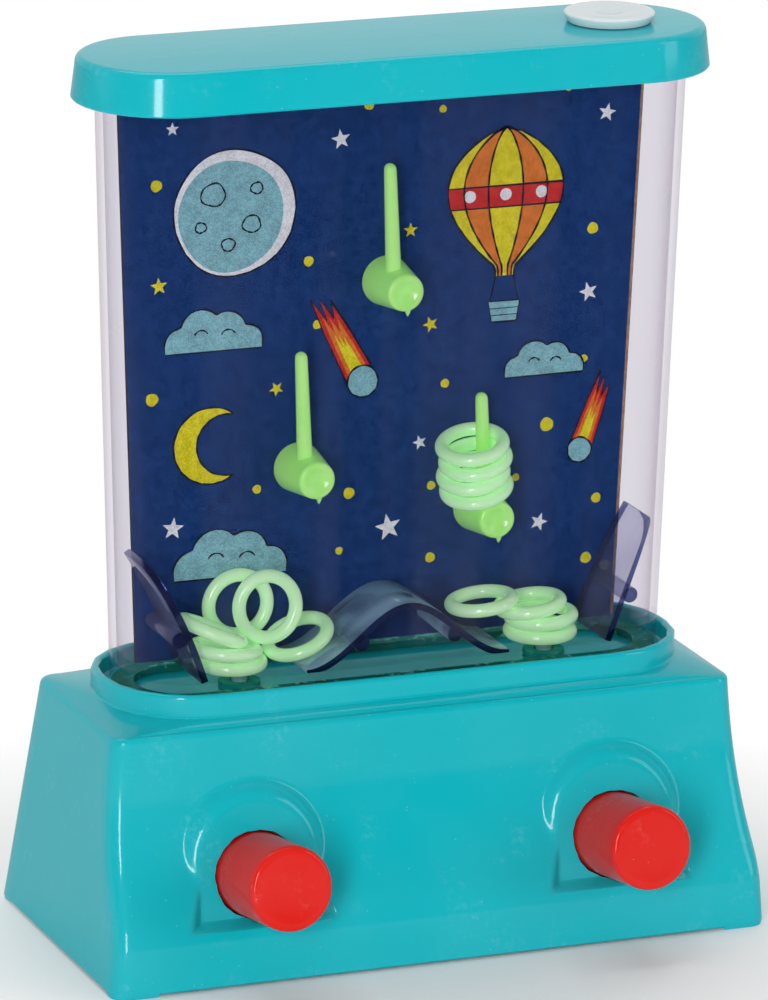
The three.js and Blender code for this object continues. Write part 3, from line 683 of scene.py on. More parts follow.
def circle(radius: float, steps: int) -> list[Flat]:
    """Returns points around a circle."""
    return [(radius * math.cos(TURN * i / steps), radius * math.sin(TURN * i / steps)) for i in range(steps)]


def corner(radius: float, centre: Flat, start: float, end: float, steps: int) -> list[Flat]:
    """Returns points of an arc between two angles in degrees, both ends among them."""
    angles = [math.radians(start + (end - start) * i / steps) for i in range(steps + 1)]
    return [(centre[0] + radius * math.cos(a), centre[1] + radius * math.sin(a)) for a in angles]


def turned(profile: Sequence[Flat], steps: int, place: Place) -> Shape:
    """Turns a closed profile of radius and height into a solid.

    Args:
        profile: The profile from the bottom of the axis, outwards and up to its top.
        steps: The number of facets around.
        place: Maps local x, y and height to the layout.

    Returns:
        The solid.
    """
    shape = Shape()
    shape.loft([
        [place(x, y, height) for x, y in circle(max(radius, TIP), steps)] for radius, height in profile
    ])
    return shape


def drill(spot: Flat, radius: float, low: float, high: float, steps: int) -> bpy.types.Object:
    """Makes an upright cylinder that cuts a hole.

    Args:
        spot: The hole's middle.
        radius: The hole's radius.
        low: Where the cylinder starts.
        high: Where it ends.
        steps: The number of facets around.

    Returns:
        The cylinder.
    """
    shape = Shape()
    shape.loft([[(spot[0] + x, spot[1] + y, z) for x, y in circle(radius, steps)] for z in (low, high)])
    return shape.piece("drill")


def oblong(half_x: float, half_y: float, z: float, arc: int, long: int) -> list[Point]:
    """Returns an outline with fully round ends, counter-clockwise from above.

    Args:
        half_x: Half its length.
        half_y: Half its depth.
        z: Its height.
        arc: Steps on each quarter of an end.
        long: Steps on each long side.

    Returns:
        The points.
    """
    points: list[Flat] = []
    radius = half_y - SLIVER
    x, y = half_x - radius, half_y - radius
    for cx, cy, angle in ((x, y, 0), (-x, y, 90), (-x, -y, 180), (x, -y, 270)):
        if angle in (90, 270):
            side = -1 if angle == 90 else 1
            points += [(-side * x + side * 2 * x * i / long, -side * half_y) for i in range(1, long)]
        points += corner(radius, (cx, cy), angle, angle + 90, arc)
    return [(px, py, z) for px, py in points]


def smooth_low(a: np.ndarray, b: np.ndarray, k: float) -> np.ndarray:
    """Returns the lower of two fields with a rounded meeting of width k."""
    return np.minimum(a, b) - np.maximum(k - np.abs(a - b), 0) ** 2 / (4 * k)


def smooth_high(a: np.ndarray, b: np.ndarray, k: float) -> np.ndarray:
    """Returns the higher of two fields with a rounded meeting of width k."""
    return -smooth_low(-a, -b, k)


class Side(Enum):
    """The two sides of the game, as the player sees them."""

    LEFT = -1
    RIGHT = 1

    @property
    def word(self) -> str:
        """Returns the side's name in lower case."""
        return self.name.lower()


@dataclass(frozen=True)
class ButtonAxis:
    """Where a push button sits: its axis meets the face of its boss at this point."""

    x: float = 29.1
    y: float = -22.5
    z: float = 16.2
    tilt: float = math.radians(9)

    @property
    def sine(self) -> float:
        """Returns the sine of the tilt."""
        return math.sin(self.tilt)

    @property
    def cosine(self) -> float:
        """Returns the cosine of the tilt."""
        return math.cos(self.tilt)

    def place(self, side: Side) -> Place:
        """Makes the map of one button.

        Args:
            side: The button's side.

        Returns:
            A map from local x, up and height along the axis to the layout.
        """
        return lambda across, up, out: (
            side.value * self.x + across,
            self.y - out * self.cosine + up * self.sine,
            self.z + out * self.sine + up * self.cosine,
        )


AXIS = ButtonAxis()


@dataclass
class BaseHousing:
    """The teal base shell with its collar and the arched bosses of the buttons."""

    length: float = 106.8
    depth: float = 53.2
    top_length: float = 100.6
    top_depth: float = 35.8
    top_z: float = 38.0
    crown: float = 1.0
    skirt: float = 9.3
    radius: float = 2.6
    wall: float = 1.8
    edge: float = 0.9
    pad: float = 0.45
    pad_length: float = 7.0
    collar_length: float = 93.1
    collar_depth: float = 30.7
    collar_radius: float = 14.1
    collar_top: float = 42.65
    collar_wall: float = 1.3
    collar_edge: float = 0.6
    well_z: float = 39.6
    front_steps: int = 280
    back_steps: int = 40
    side_steps: int = 16
    corner_steps: int = 5
    face_half: float = 9.3
    face_rise: float = 2.2
    foot: float = 6.5
    boss_round: float = 0.5
    boss_half: float = 16
    boss_down: float = -11
    boss_up: float = 16
    boss_rounds: int = 3
    foot_slope: float = 2.5
    rise_round: float = 0.6
    dish: Flat = (0.25, 0.2)
    hole: float = 6.8

    def front_at(self, z: float) -> float:
        """Works out the plain front's sweep.

        Args:
            z: The height.

        Returns:
            How far the front stands out from the middle.
        """
        drop = np.clip((self.top_z - z) / (self.top_z - self.skirt), 0, 2)
        flare = np.clip(smooth_low(drop, 1.0, 0.12), 0, 1) ** 2.5
        return float(self.top_depth + (self.depth - self.top_depth) * flare) / 2

    def bossed(self, x: np.ndarray, y: np.ndarray, z: float) -> np.ndarray:
        """Moves front points on to the bosses around the buttons.

        Args:
            x: Places along the front.
            y: Where the plain front lies there.
            z: The height.

        Returns:
            Where the front lies with its bosses.
        """
        rise_z = z - AXIS.z
        if not self.boss_down < rise_z < self.boss_up:
            return y
        for side in Side:
            across = np.abs(x - side.value * AXIS.x)
            moved = y.copy()
            for _ in range(self.boss_rounds):
                up = (moved - AXIS.y) * AXIS.sine + rise_z * AXIS.cosine
                out = -(y - AXIS.y) * AXIS.cosine + rise_z * AXIS.sine
                arched = np.hypot(across, np.maximum(up - self.face_rise, 0)) - self.face_half
                below = -self.foot - up
                beyond = np.maximum(smooth_high(arched, below, self.boss_round), 0)
                rise = smooth_high(np.maximum(arched, 0), below * self.foot_slope, self.rise_round)
                fall = -(self.dish[0] * beyond + self.dish[1] * beyond ** 2)
                level = smooth_high(smooth_low(out, rise, self.boss_round), fall, self.boss_round)
                moved = AXIS.y - (level - rise_z * AXIS.sine) / AXIS.cosine
            y = np.where(across < self.boss_half, moved, y)
        return y

    def loop(self, z: float, size: Point, radius: float, face: Callable) -> list[Point]:
        """Returns a rounded outline, with as many points at every level.

        Args:
            z: Its height.
            size: Half its length, and how far it goes back and forward.
            radius: Its corner radius.
            face: Maps places along the front to where the front lies.

        Returns:
            The points, counter-clockwise from above.
        """
        half_x, back, front = size
        x, run = half_x - radius, back + front - 2 * radius
        steps = self.corner_steps
        sides = [run * i / self.side_steps for i in range(1, self.side_steps)]
        row = np.linspace(-x, x, self.front_steps + 1)[1:-1]
        points = corner(radius, (x, back - radius), 0, 90, steps)
        points += [(x - 2 * x * i / self.back_steps, back) for i in range(1, self.back_steps)]
        points += corner(radius, (-x, back - radius), 90, 180, steps)
        points += [(-half_x, back - radius - step) for step in sides]
        points += corner(radius, (-x, radius - front), 180, 270, steps)
        points += list(zip(row.tolist(), face(row).tolist()))
        points += corner(radius, (x, radius - front), 270, 360, steps)
        points += [(half_x, radius - front + step) for step in sides]
        return [(px, py, z) for px, py in points]

    def ring(self, z: float, inset: float = 0) -> list[Point]:
        """Returns the housing's outline with its bosses.

        Args:
            z: Its height.
            inset: How far it lies inside the surface.

        Returns:
            The points.
        """
        rise = min(max(z / self.top_z, 0), 1)
        half_x = (self.length + (self.top_length - self.length) * rise) / 2 - inset
        back = (self.depth + (self.top_depth - self.depth) * rise) / 2 - inset
        front = self.front_at(z)
        return self.loop(
            z, (half_x, back, front - inset), max(self.radius - inset, 0.5),
            lambda row: self.bossed(row, np.full_like(row, -front), z) + inset,
        )

    def collar_ring(self, z: float, inset: float) -> list[Point]:
        """Makes the collar's outline, with as many points as the housing's.

        Args:
            z: Its height.
            inset: How far it lies inside the surface.

        Returns:
            The points.
        """
        half_x, half_y = self.collar_length / 2 - inset, self.collar_depth / 2 - inset
        size = (half_x, half_y, half_y)
        return self.loop(z, size, self.collar_radius - inset, lambda row: np.full_like(row, -half_y))

    def bottom_ring(self, inset: float) -> list[Point]:
        """Returns the lower edge, which drops to the table at the four corner pads.

        Args:
            inset: How far it lies inside the surface.

        Returns:
            The points.
        """
        limit_x = self.length / 2 - self.pad_length
        limit_y = self.depth / 2 - self.pad_length / 2
        return [
            (x, y, 0.0 if abs(x) > limit_x and abs(y) > limit_y else self.pad)
            for x, y, _ in self.ring(self.pad, inset)
        ]

    def collar(self) -> list[list[Point]]:
        """Makes the collar's levels, from its root over its rounded rim down to the well.

        Returns:
            The outlines in order.
        """
        root, rim = self.top_z + self.crown, self.collar_top - self.collar_edge
        levels = [(root, -0.55), (root + 0.12, -0.22), (root + 0.45, 0.0), (rim, 0.0)]
        for degrees in (22, 45, 68, 90, 112, 135, 158):
            a = math.radians(degrees)
            inset = self.collar_wall / 2 * (1 - math.cos(a))
            levels.append((self.collar_top - self.collar_edge * (1 - math.sin(a)), inset))
        levels += [(rim, self.collar_wall), (self.well_z + 0.3, self.collar_wall)]
        levels += [(self.well_z, self.collar_wall + 0.3)]
        return [self.collar_ring(z, inset) for z, inset in levels]

    def build(self) -> bpy.types.Object:
        """Makes the shell.

        Returns:
            The piece.
        """
        inside = [36.4, 35, 33, 31, *np.arange(30, 7, -1.0), 5.0, 3.0, 1.5]
        outside = [1.2, 3, 5, 7, 8, *np.arange(8.6, 30.8, 0.36), 31.4, 32.4, 33.6, 35, 36.2, 37.1]
        rings = [self.ring(float(z), self.wall) for z in inside]
        rings += [self.bottom_ring(self.wall), self.bottom_ring(0.2), self.ring(0.7)]
        rings += [self.ring(float(z)) for z in outside]
        for a in (math.radians(degrees) for degrees in (18, 36, 54, 72, 90)):
            rings.append(self.ring(self.top_z - self.edge * (1 - math.sin(a)), self.edge * (1 - math.cos(a))))
        shape = Shape()
        shape.loft(rings + self.collar())
        piece = shape.piece("base_shell", [TEAL], smooth=32)
        carve(piece, [self.hole_tool(side) for side in Side], smooth=32)
        return piece

    def hole_tool(self, side: Side) -> bpy.types.Object:
        """Makes the plug that cuts a button's hole, its edge a little ragged.

        Args:
            side: The button's side.

        Returns:
            The plug.
        """
        put = AXIS.place(side)
        steps = 96
        rings = []
        for out, rough in ((-9.0, 0), (-1.0, 1), (-0.25, 1), (1.5, 1)):
            ring = []
            for angle in (TURN * i / steps for i in range(steps)):
                ragged = 0.05 * math.sin(7 * angle) + 0.04 * math.sin(19 * angle + side.value)
                radius = self.hole + ragged * rough
                ring.append(put(radius * math.cos(angle), radius * math.sin(angle), out))
            rings.append(ring)
        shape = Shape()
        shape.loft(rings)
        return shape.piece("hole_" + side.word)


@dataclass
class PushButton:
    """A red push button: a hollow cap with a rounded rim, a flange and a stem."""

    radius: float = 6.5
    reach: float = 14.77
    round: float = 0.9
    flange: float = 7.9
    stem: float = 3.0
    steps: int = 96

    def build(self, side: Side) -> bpy.types.Object:
        """Makes one button.

        Args:
            side: The button's side.

        Returns:
            The piece.
        """
        profile: list[Flat] = [(0, -6.9), (self.stem - 0.2, -6.9), (self.stem, -6.7), (self.stem, -3.9)]
        profile += [(self.flange - 0.2, -3.9), (self.flange, -3.7), (self.flange, -2.6)]
        profile += [(self.flange - 0.2, -2.4), (self.radius + 0.15, -2.4), (self.radius, -2.2)]
        profile += [(self.radius, out) for out in (0.0, 4.0, 8.0, 12.0)]
        profile += corner(self.round, (self.radius - self.round, self.reach - self.round), 0, 90, 8)
        profile += [(self.radius - 1.5, self.reach - 0.02), (3.0, self.reach - 0.06), (0, self.reach - 0.08)]
        cap = turned(profile, self.steps, AXIS.place(side))
        return cap.piece("button_cap_" + side.word, [RED], smooth=40)


@dataclass
class Lid:
    """The teal lid."""

    half_x: float = 50.5
    half_y: float = 14.5
    low: float = 131.4
    top: float = 138.0
    inset: float = 0.8
    wall: float = 1.6
    plate: float = 2.2
    edge: float = 1.0
    plug_x: float = 35.0
    hole: float = 5.2
    arc_steps: int = 32
    side_steps: int = 24
    hole_steps: int = 64

    def ring(self, z: float, inset: float) -> list[Point]:
        """Returns the outline at a height."""
        draw = self.inset * (z - self.low) / (self.top - self.low) + inset
        return oblong(self.half_x - draw, self.half_y - draw, z, self.arc_steps, self.side_steps)

    def build(self) -> bpy.types.Object:
        """Makes the lid.

        Returns:
            The piece.
        """
        under = self.top - self.plate
        levels = [(under, self.wall), (self.low + 0.2, self.wall), (self.low, self.wall - 0.2)]
        levels += [(self.low, 0.25), (self.low + 0.25, 0.0)]
        for a in (math.radians(degrees) for degrees in range(0, 91, 10)):
            levels.append((self.top - self.edge * (1 - math.sin(a)), self.edge * (1 - math.cos(a))))
        shape = Shape()
        shape.loft([self.ring(z, inset) for z, inset in levels])
        piece = shape.piece("lid_cap", [TEAL], smooth=40)
        low, high = under - OVERRUN, self.top + OVERRUN
        carve(piece, [drill((self.plug_x, 0), self.hole, low, high, self.hole_steps)], smooth=40)
        return piece


@dataclass
class FillPlug:
    """The white plug: a wide cap on a hollow stem."""

    x: float = 35.0
    radius: float = 6.95
    foot: float = 6.4
    seat: float = 138.1
    top: float = 139.7
    stem: float = 5.0
    stem_low: float = 133.1
    bore_top: float = 135.9
    steps: int = 80

    def build(self) -> bpy.types.Object:
        """Makes the plug.

        Returns:
            The piece.
        """
        top, bore = self.top, self.stem - 1.2
        profile: list[Flat] = [(0, self.bore_top), (bore, self.bore_top), (bore, self.stem_low)]
        profile += [(self.stem - 0.5, self.stem_low), (self.stem, self.stem_low + 1.0)]
        profile += [(self.stem, self.seat), (self.foot - 0.15, self.seat), (self.foot, self.seat + 0.12)]
        profile += [(self.radius - 0.05, top - 0.45)]
        profile += corner(0.35, (self.radius - 0.35, top - 0.35), 0, 90, 6)
        profile += [(5.4, top - 0.01), (5.2, top - 0.06), (3.2, top - 0.1), (1.9, top - 0.12)]
        profile += [(1.5, top - 0.3), (0.9, top - 0.48), (0, top - 0.5)]
        cap = turned(profile, self.steps, lambda a, b, c: (self.x + a, b, c))
        return cap.piece("plug_cap", [WHITE], smooth=45)


@dataclass
class WaterTank:
    """The clear tank."""

    half_low: float = 44.2
    half_high: float = 46.9
    y_low: float = 11.0
    y_high: float = 11.3
    z_low: float = 42.65
    z_high: float = 131.4
    bottom: float = 40.8
    floor: float = 42.6
    top: float = 134.4
    flange: float = 1.6
    wall: float = 1.2
    jet: Flat = (25.0, -3.0)
    jet_radius: float = 1.5
    lip: float = 1.0
    arc_steps: int = 20
    side_steps: int = 12
    jet_steps: int = 24

    def halves(self, z: float) -> Flat:
        """Works out how wide the tank is.

        Args:
            z: The height.

        Returns:
            Half the outside's length and half its depth.
        """
        rise = (z - self.z_low) / (self.z_high - self.z_low)
        low, high = (self.half_low, self.y_low), (self.half_high, self.y_high)
        return low[0] + (high[0] - low[0]) * rise, low[1] + (high[1] - low[1]) * rise

    def ring(self, z: float, inset: float) -> list[Point]:
        """Returns an outline at a height, clockwise from above."""
        half_x, half_y = self.halves(z)
        return oblong(half_x - inset, half_y - inset, z, self.arc_steps, self.side_steps)[::-1]

    def build(self) -> bpy.types.Object:
        """Makes the tank with its jet holes.

        Returns:
            The piece, its floor in a finish of its own.
        """
        wall, under = self.wall, self.top - self.flange
        levels = [(self.floor, wall + 0.5), (self.floor + 0.15, wall + 0.15), (self.floor + 0.5, wall)]
        levels += [(z, wall) for z in (60, 90, 120, self.top)]
        levels += [(self.top, -self.lip), (under, -self.lip), (under, 0.0)]
        levels += [(z, 0.0) for z in (120, 90, 60, self.bottom + 0.7)]
        levels += [(self.bottom + 0.2, 0.2), (self.bottom, 0.7)]
        rings = [self.ring(z, inset) for z, inset in levels]
        shape = Shape()
        shape.loft(rings)
        floor_levels = (0, 1, len(rings) - 2, len(rings) - 1)
        shape.slots = [int(i // len(rings[0]) in floor_levels) for i in range(len(shape.slots))]
        piece = shape.piece("tank_shell", [CLEAR, CLEAR_FLOOR], smooth=40)
        spots = [(side.value * self.jet[0], self.jet[1]) for side in Side]
        low, high = self.bottom - OVERRUN, self.floor + OVERRUN
        tools = [drill(spot, self.jet_radius, low, high, self.jet_steps) for spot in spots]
        carve(piece, tools, smooth=40)
        return piece


@dataclass
class Card:
    """The printed card that stands across the tank."""

    y: float = 3.4
    thickness: float = 0.8
    floor: float = 42.6
    low: float = 42.8
    high: float = 130.6
    half_low: float = 39.3
    half_high: float = 42.6
    radius: float = 0.8

    def half(self, z: float) -> float:
        """Returns half the card's width at a height."""
        return self.half_low + (self.half_high - self.half_low) * (z - self.floor) / (self.high - self.floor)

    def build(self) -> bpy.types.Object:
        """Makes the board with its navy front and its left edge in the line ink's dark colour.

        Returns:
            The piece.
        """
        outline: list[Flat] = [(-self.half(self.low), self.low), (self.half(self.low), self.low)]
        top, high = self.half(self.high) - self.radius, self.high - self.radius
        outline += corner(self.radius, (top, high), 0, 90, 6)
        outline += corner(self.radius, (-top, high), 90, 180, 6)
        count = len(outline)
        front = [(x, self.y, z) for x, z in outline]
        back = [(x, self.y + self.thickness, z) for x, z in outline]
        shape = Shape()
        shape.add(front, [range(count)], 0)
        shape.add(back, [range(count - 1, -1, -1)], 1)
        around = [(i, i + count, (i + 1) % count + count, (i + 1) % count) for i in range(count)]
        shape.add(front + back, around, 1)
        for i in range(count):
            if outline[i][0] < 0 and outline[(i + 1) % count][0] < 0:
                shape.slots[2 + i] = 2
        return shape.piece("card_board", [NAVY, BOARD, INKS["line"]], smooth=30)


class CardPrint:
    """The picture on the card: a night sky with a balloon, a moon, a comet, clouds and stars."""

    def __init__(self, card: Card) -> None:
        """Starts an empty print on a card."""
        self.card = card
        self.shape = Shape()

    def patch(self, outline: Sequence[Flat], ink: str, layer: int) -> None:
        """Adds a flat patch of ink.

        Args:
            outline: Its outline, in x and z.
            ink: The ink's name.
            layer: Its layer over the card, from 1.
        """
        flat = [Vector((x, z, 0)) for x, z in outline]
        faces = []
        for a, b, c in tessellate_polygon([flat]):
            side = (flat[b] - flat[a]).cross(flat[c] - flat[a]).z
            faces.append((a, b, c) if side > 0 else (a, c, b))
        y = self.card.y - LAYER * layer
        self.shape.add([(x, y, z) for x, z in outline], faces, list(INKS).index(ink))

    def stroke(self, path: Sequence[Flat], width: float, layer: int, closed: bool = True) -> None:
        """Adds a drawn line whose width wavers a little.

        Args:
            path: Its middle, in x and z.
            width: Its width.
            layer: Its layer over the card.
            closed: Whether its end meets its start.
        """
        count = len(path)
        left, right = [], []
        for i, (x, z) in enumerate(path):
            before = path[(i - 1) % count] if closed or i else path[i]
            after = path[(i + 1) % count] if closed or i < count - 1 else path[i]
            dx, dz = after[0] - before[0], after[1] - before[1]
            half = width / 2 * (1 + 0.3 * math.sin(i * 1.7 + x)) / (math.hypot(dx, dz) or 1)
            left.append((x - dz * half, z + dx * half))
            right.append((x + dz * half, z - dx * half))
        y = self.card.y - LAYER * layer
        last = count if closed else count - 1
        faces = [((i + 1) % count, i, count + i, count + (i + 1) % count) for i in range(last)]
        self.shape.add([(x, y, z) for x, z in left + right], faces, list(INKS).index("line"))

    @staticmethod
    def blob(
        x: float, z: float, rx: float, rz: float, steps: int = 48, wobble: float = 0.012
    ) -> list[Flat]:
        """Returns a hand-drawn oval.

        Args:
            x: Its middle.
            z: Its middle's height.
            rx: Half its width.
            rz: Half its height.
            steps: The number of points.
            wobble: How far it wavers, as a share of its size.

        Returns:
            The outline.
        """
        points = []
        for i in range(steps):
            a = TURN * i / steps
            grow = 1 + wobble * math.sin(3 * a + x) + wobble * 0.6 * math.sin(5 * a + z)
            points.append((x + rx * grow * math.cos(a), z + rz * grow * math.sin(a)))
        return points

    def filled(self, outline: Sequence[Flat], ink: str, layer: int) -> None:
        """Adds a patch with a drawn outline."""
        self.patch(outline, ink, layer)
        self.stroke(outline, 0.28, layer + 1)

    def star(self, x: float, z: float, size: float, ink: str, turn: float) -> None:
        """Adds a five-pointed star.

        Args:
            x: Its middle.
            z: Its middle's height.
            size: Its radius.
            ink: The ink's name.
            turn: How far it leans, in degrees.
        """
        outline = []
        for i in range(10):
            radius = size if i % 2 == 0 else size * 0.42
            a = math.radians(90 + turn + 36 * i)
            outline.append((x + radius * math.cos(a), z + radius * math.sin(a)))
        self.patch(outline, ink, 1)

    @staticmethod
    def meridian(x: float, z: float, size: float, share: float) -> list[Flat]:
        """Returns a line down a balloon, from its top to its mouth.

        Args:
            x: The balloon's middle.
            z: The height of its widest part.
            size: Its radius.
            share: How far out the line lies, as a share of the balloon's width.

        Returns:
            The points.
        """
        steps = 28
        mouth = 0.16 * size
        points = []
        for t in (i / steps for i in range(steps + 1)):
            wide = math.sin(math.pi * min(t * 1.02, 1) ** 0.82) ** 0.85 * size if t < 0.985 else mouth
            wide = max(wide, mouth if t > 0.6 else 0)
            points.append((x + share * wide, z + size - t * 2.45 * size))
        return points

    def balloon(self, x: float, z: float, size: float) -> None:
        """Adds a striped hot-air balloon with its basket below.

        Args:
            x: Its middle.
            z: The height of its widest part.
            size: Its radius.
        """
        edges = {share: self.meridian(x, z, size, share) for share in (-1, -0.72, -0.3, 0.3, 0.72, 1)}
        inks = ("yellow", "orange", "yellow", "orange", "yellow")
        for low, high, ink in zip(list(edges), list(edges)[1:], inks):
            self.patch(edges[low] + edges[high][::-1], ink, 3)
        for edge in edges.values():
            self.stroke(edge, 0.3, 5, closed=False)
        left, right = (
            [p for p in edges[share] if z - 0.35 * size < p[1] < z + 0.12 * size] for share in (-1, 1)
        )
        self.patch(left + right[::-1], "red", 4)
        self.stroke(left + right[::-1], 0.3, 6)
        for share in (-0.62, 0, 0.62):
            near = [
                p[0] for p in self.meridian(x, z, size, share) if abs(p[1] - (z - 0.11 * size)) < 0.1 * size
            ]
            dot = self.blob(sum(near) / len(near), z - 0.11 * size, 0.1 * size, 0.1 * size, 20)
            self.patch(dot, "white", 5)
        mouth, basket = z - 1.45 * size, z - 1.87 * size
        for share in (-1, 1):
            rope = [(x + share * 0.15 * size, mouth), (x + share * 0.24 * size, basket)]
            self.stroke(rope, 0.25, 3, closed=False)
        wide, foot = 0.27 * size, basket - 0.34 * size
        box = [(x - wide, basket), (x - wide * 0.8, foot), (x + wide * 0.8, foot), (x + wide, basket)]
        self.filled(box, "pale_blue", 3)
        for share in (0.35, 0.68):
            height = basket + (foot - basket) * share
            self.stroke([(x - wide * 0.92, height), (x + wide * 0.92, height)], 0.18, 5, closed=False)

    def moon(self, x: float, z: float, size: float) -> None:
        """Adds a round pale moon with craters and a lit rim.

        Args:
            x: Its middle.
            z: Its middle's height.
            size: Its radius.
        """
        self.filled(self.blob(x, z, size, size), "white", 1)
        self.patch(self.blob(x - 0.06 * size, z - 0.05 * size, 0.86 * size, 0.88 * size), "pale_blue", 3)
        for cx, cz, radius in (
            (-0.35, 0.3, 0.2), (0.28, -0.2, 0.15), (-0.1, -0.5, 0.11), (0.36, 0.36, 0.1), (-0.55, -0.2, 0.09),
        ):
            crater = self.blob(x + cx * size, z + cz * size, radius * size, radius * 0.9 * size, 24, 0.05)
            self.stroke(crater, 0.26, 5)

    def crescent(self, x: float, z: float, size: float) -> None:
        """Adds a crescent moon.

        Args:
            x: Its middle.
            z: Its middle's height.
            size: Its radius.
        """
        outer = [(x + size * math.cos(a), z + size * math.sin(a)) for a in np.linspace(0.9, TURN - 0.9, 40)]
        inner = [
            (x + size * 0.42 + size * 0.8 * math.cos(a), z + size * 0.8 * math.sin(a))
            for a in np.linspace(TURN - 1.35, 1.35, 34)
        ]
        self.filled([(float(a), float(b)) for a, b in outer + inner], "yellow", 1)

    def comet(self, x: float, z: float, size: float, angle: float) -> None:
        """Adds a comet.

        Args:
            x: The head's middle.
            z: The head's height.
            size: The head's radius.
            angle: Where the tail streams to, in degrees.
        """
        sine, cosine = math.sin(math.radians(angle)), math.cos(math.radians(angle))
        tails = (("red", 1, 6.4, 0.95), ("orange", 3, 5.0, 0.68), ("yellow", 4, 3.6, 0.42))
        outline_shares = (
            (0, 1), (0.62, 0.8), (1, 0.55), (0.72, 0.22), (0.95, 0),
            (0.7, -0.25), (0.88, -0.6), (0.5, -0.85), (0, -1),
        )
        for ink, layer, reach, spread in tails:
            tail = []
            for forward, sideways in outline_shares:
                along, across = forward * reach * size, sideways * spread * size
                tail.append((x + along * cosine - across * sine, z + along * sine + across * cosine))
            self.patch(tail, ink, layer)
            if layer == 1:
                self.stroke(tail, 0.28, 2)
        self.filled(self.blob(x, z, size, size, 32), "pale_blue", 5)

    def cloud(self, x: float, z: float, size: float) -> None:
        """Adds a cloud with a flat foot.

        Args:
            x: Its middle.
            z: The height of its lower puffs.
            size: Its scale.
        """
        puffs = ((-1.5, 0.0, 0.75), (-0.6, 0.55, 0.95), (0.55, 0.5, 0.85), (1.45, 0.0, 0.7))
        outline = [(x - 2.2 * size, z - 0.35 * size)]
        for puff in puffs:
            for px, pz in corner(puff[2], puff[:2], 180, 0, 12):
                others = [other for other in puffs if other is not puff]
                hidden = any(math.hypot(px - ox, pz - oz) < radius - 0.01 for ox, oz, radius in others)
                if pz >= -0.3 and not hidden:
                    outline.append((x + px * size, z + pz * size))
        outline.append((x + 2.1 * size, z - 0.35 * size))
        self.filled(outline[::-1], "pale_blue", 1)
        for cx, cz in ((-0.6, 0.3), (0.6, 0.25)):
            curl = [
                (float(x + (cx + 0.32 * math.cos(a)) * size), float(z + (cz + 0.3 * math.sin(a)) * size))
                for a in np.linspace(0.4, 2.8, 9)
            ]
            self.stroke(curl, 0.24, 3, closed=False)

    def build(self) -> bpy.types.Object:
        """Draws the whole picture, with the bare margin along its right edge.

        Returns:
            The piece.
        """
        low, high = self.card.low + 0.05, self.card.high - 1.2
        right, top = self.card.half(low), self.card.half(high)
        margin = [(right - 0.5, low), (right - 0.02, low), (top - 0.02, high), (top - 0.4, high)]
        self.patch(margin, "board", 1)
        self.balloon(20.0, 112.5, 9.5)
        self.moon(-24.0, 112.0, 9.8)
        self.crescent(-27.5, 76.0, 6.0)
        self.comet(-3.0, 84.0, 2.5, 118.0)
        self.comet(33.0, 70.0, 2.0, 70.0)
        for place in ((-27.0, 92.0, 3.6), (27.0, 83.5, 3.0), (-24.0, 56.5, 4.2)):
            self.cloud(*place)
        for x, z, size, ink, turn in (
            (-7.0, 122.0, 1.6, "white", 8), (36.5, 123.0, 1.5, "white", -12), (8.0, 92.0, 1.3, "yellow", 20),
            (-36.0, 101.5, 1.4, "yellow", 5), (34.0, 95.0, 1.6, "white", 14), (-33.5, 63.5, 1.8, "white", -6),
            (1.5, 60.5, 2.2, "white", 10), (-17.0, 84.0, 1.2, "yellow", 30), (26.5, 59.0, 1.5, "white", -20),
            (-34.0, 125.5, 1.1, "white", 0), (6.5, 73.5, 1.2, "white", 15), (4.5, 107.0, 1.2, "yellow", 0),
        ):
            self.star(x, z, size, ink, turn)
        for x, z, size in (
            (-36.5, 117.0, 0.9), (-12.0, 103.5, 0.8), (-2.5, 127.0, 0.8), (9.5, 125.5, 0.6),
            (34.5, 105.0, 0.9), (-37.0, 84.0, 1.0), (27.5, 74.5, 1.1), (-5.0, 66.5, 0.9),
            (33.5, 84.5, 0.6), (-20.0, 68.5, 0.7), (8.5, 66.5, 0.7), (22.5, 66.5, 0.6),
            (36.0, 62.0, 0.8), (-10.5, 93.5, 0.7), (8.5, 55.0, 0.8), (10.5, 82.5, 0.7),
            (-30.0, 48.5, 0.9), (34.5, 52.5, 0.9), (-6.5, 57.5, 0.6), (30.0, 127.5, 0.7),
        ):
            self.patch(self.blob(x, z, size, size, 16, 0.04), "yellow", 1)
        return self.shape.piece("card_print", list(INKS.values()), smooth=30)


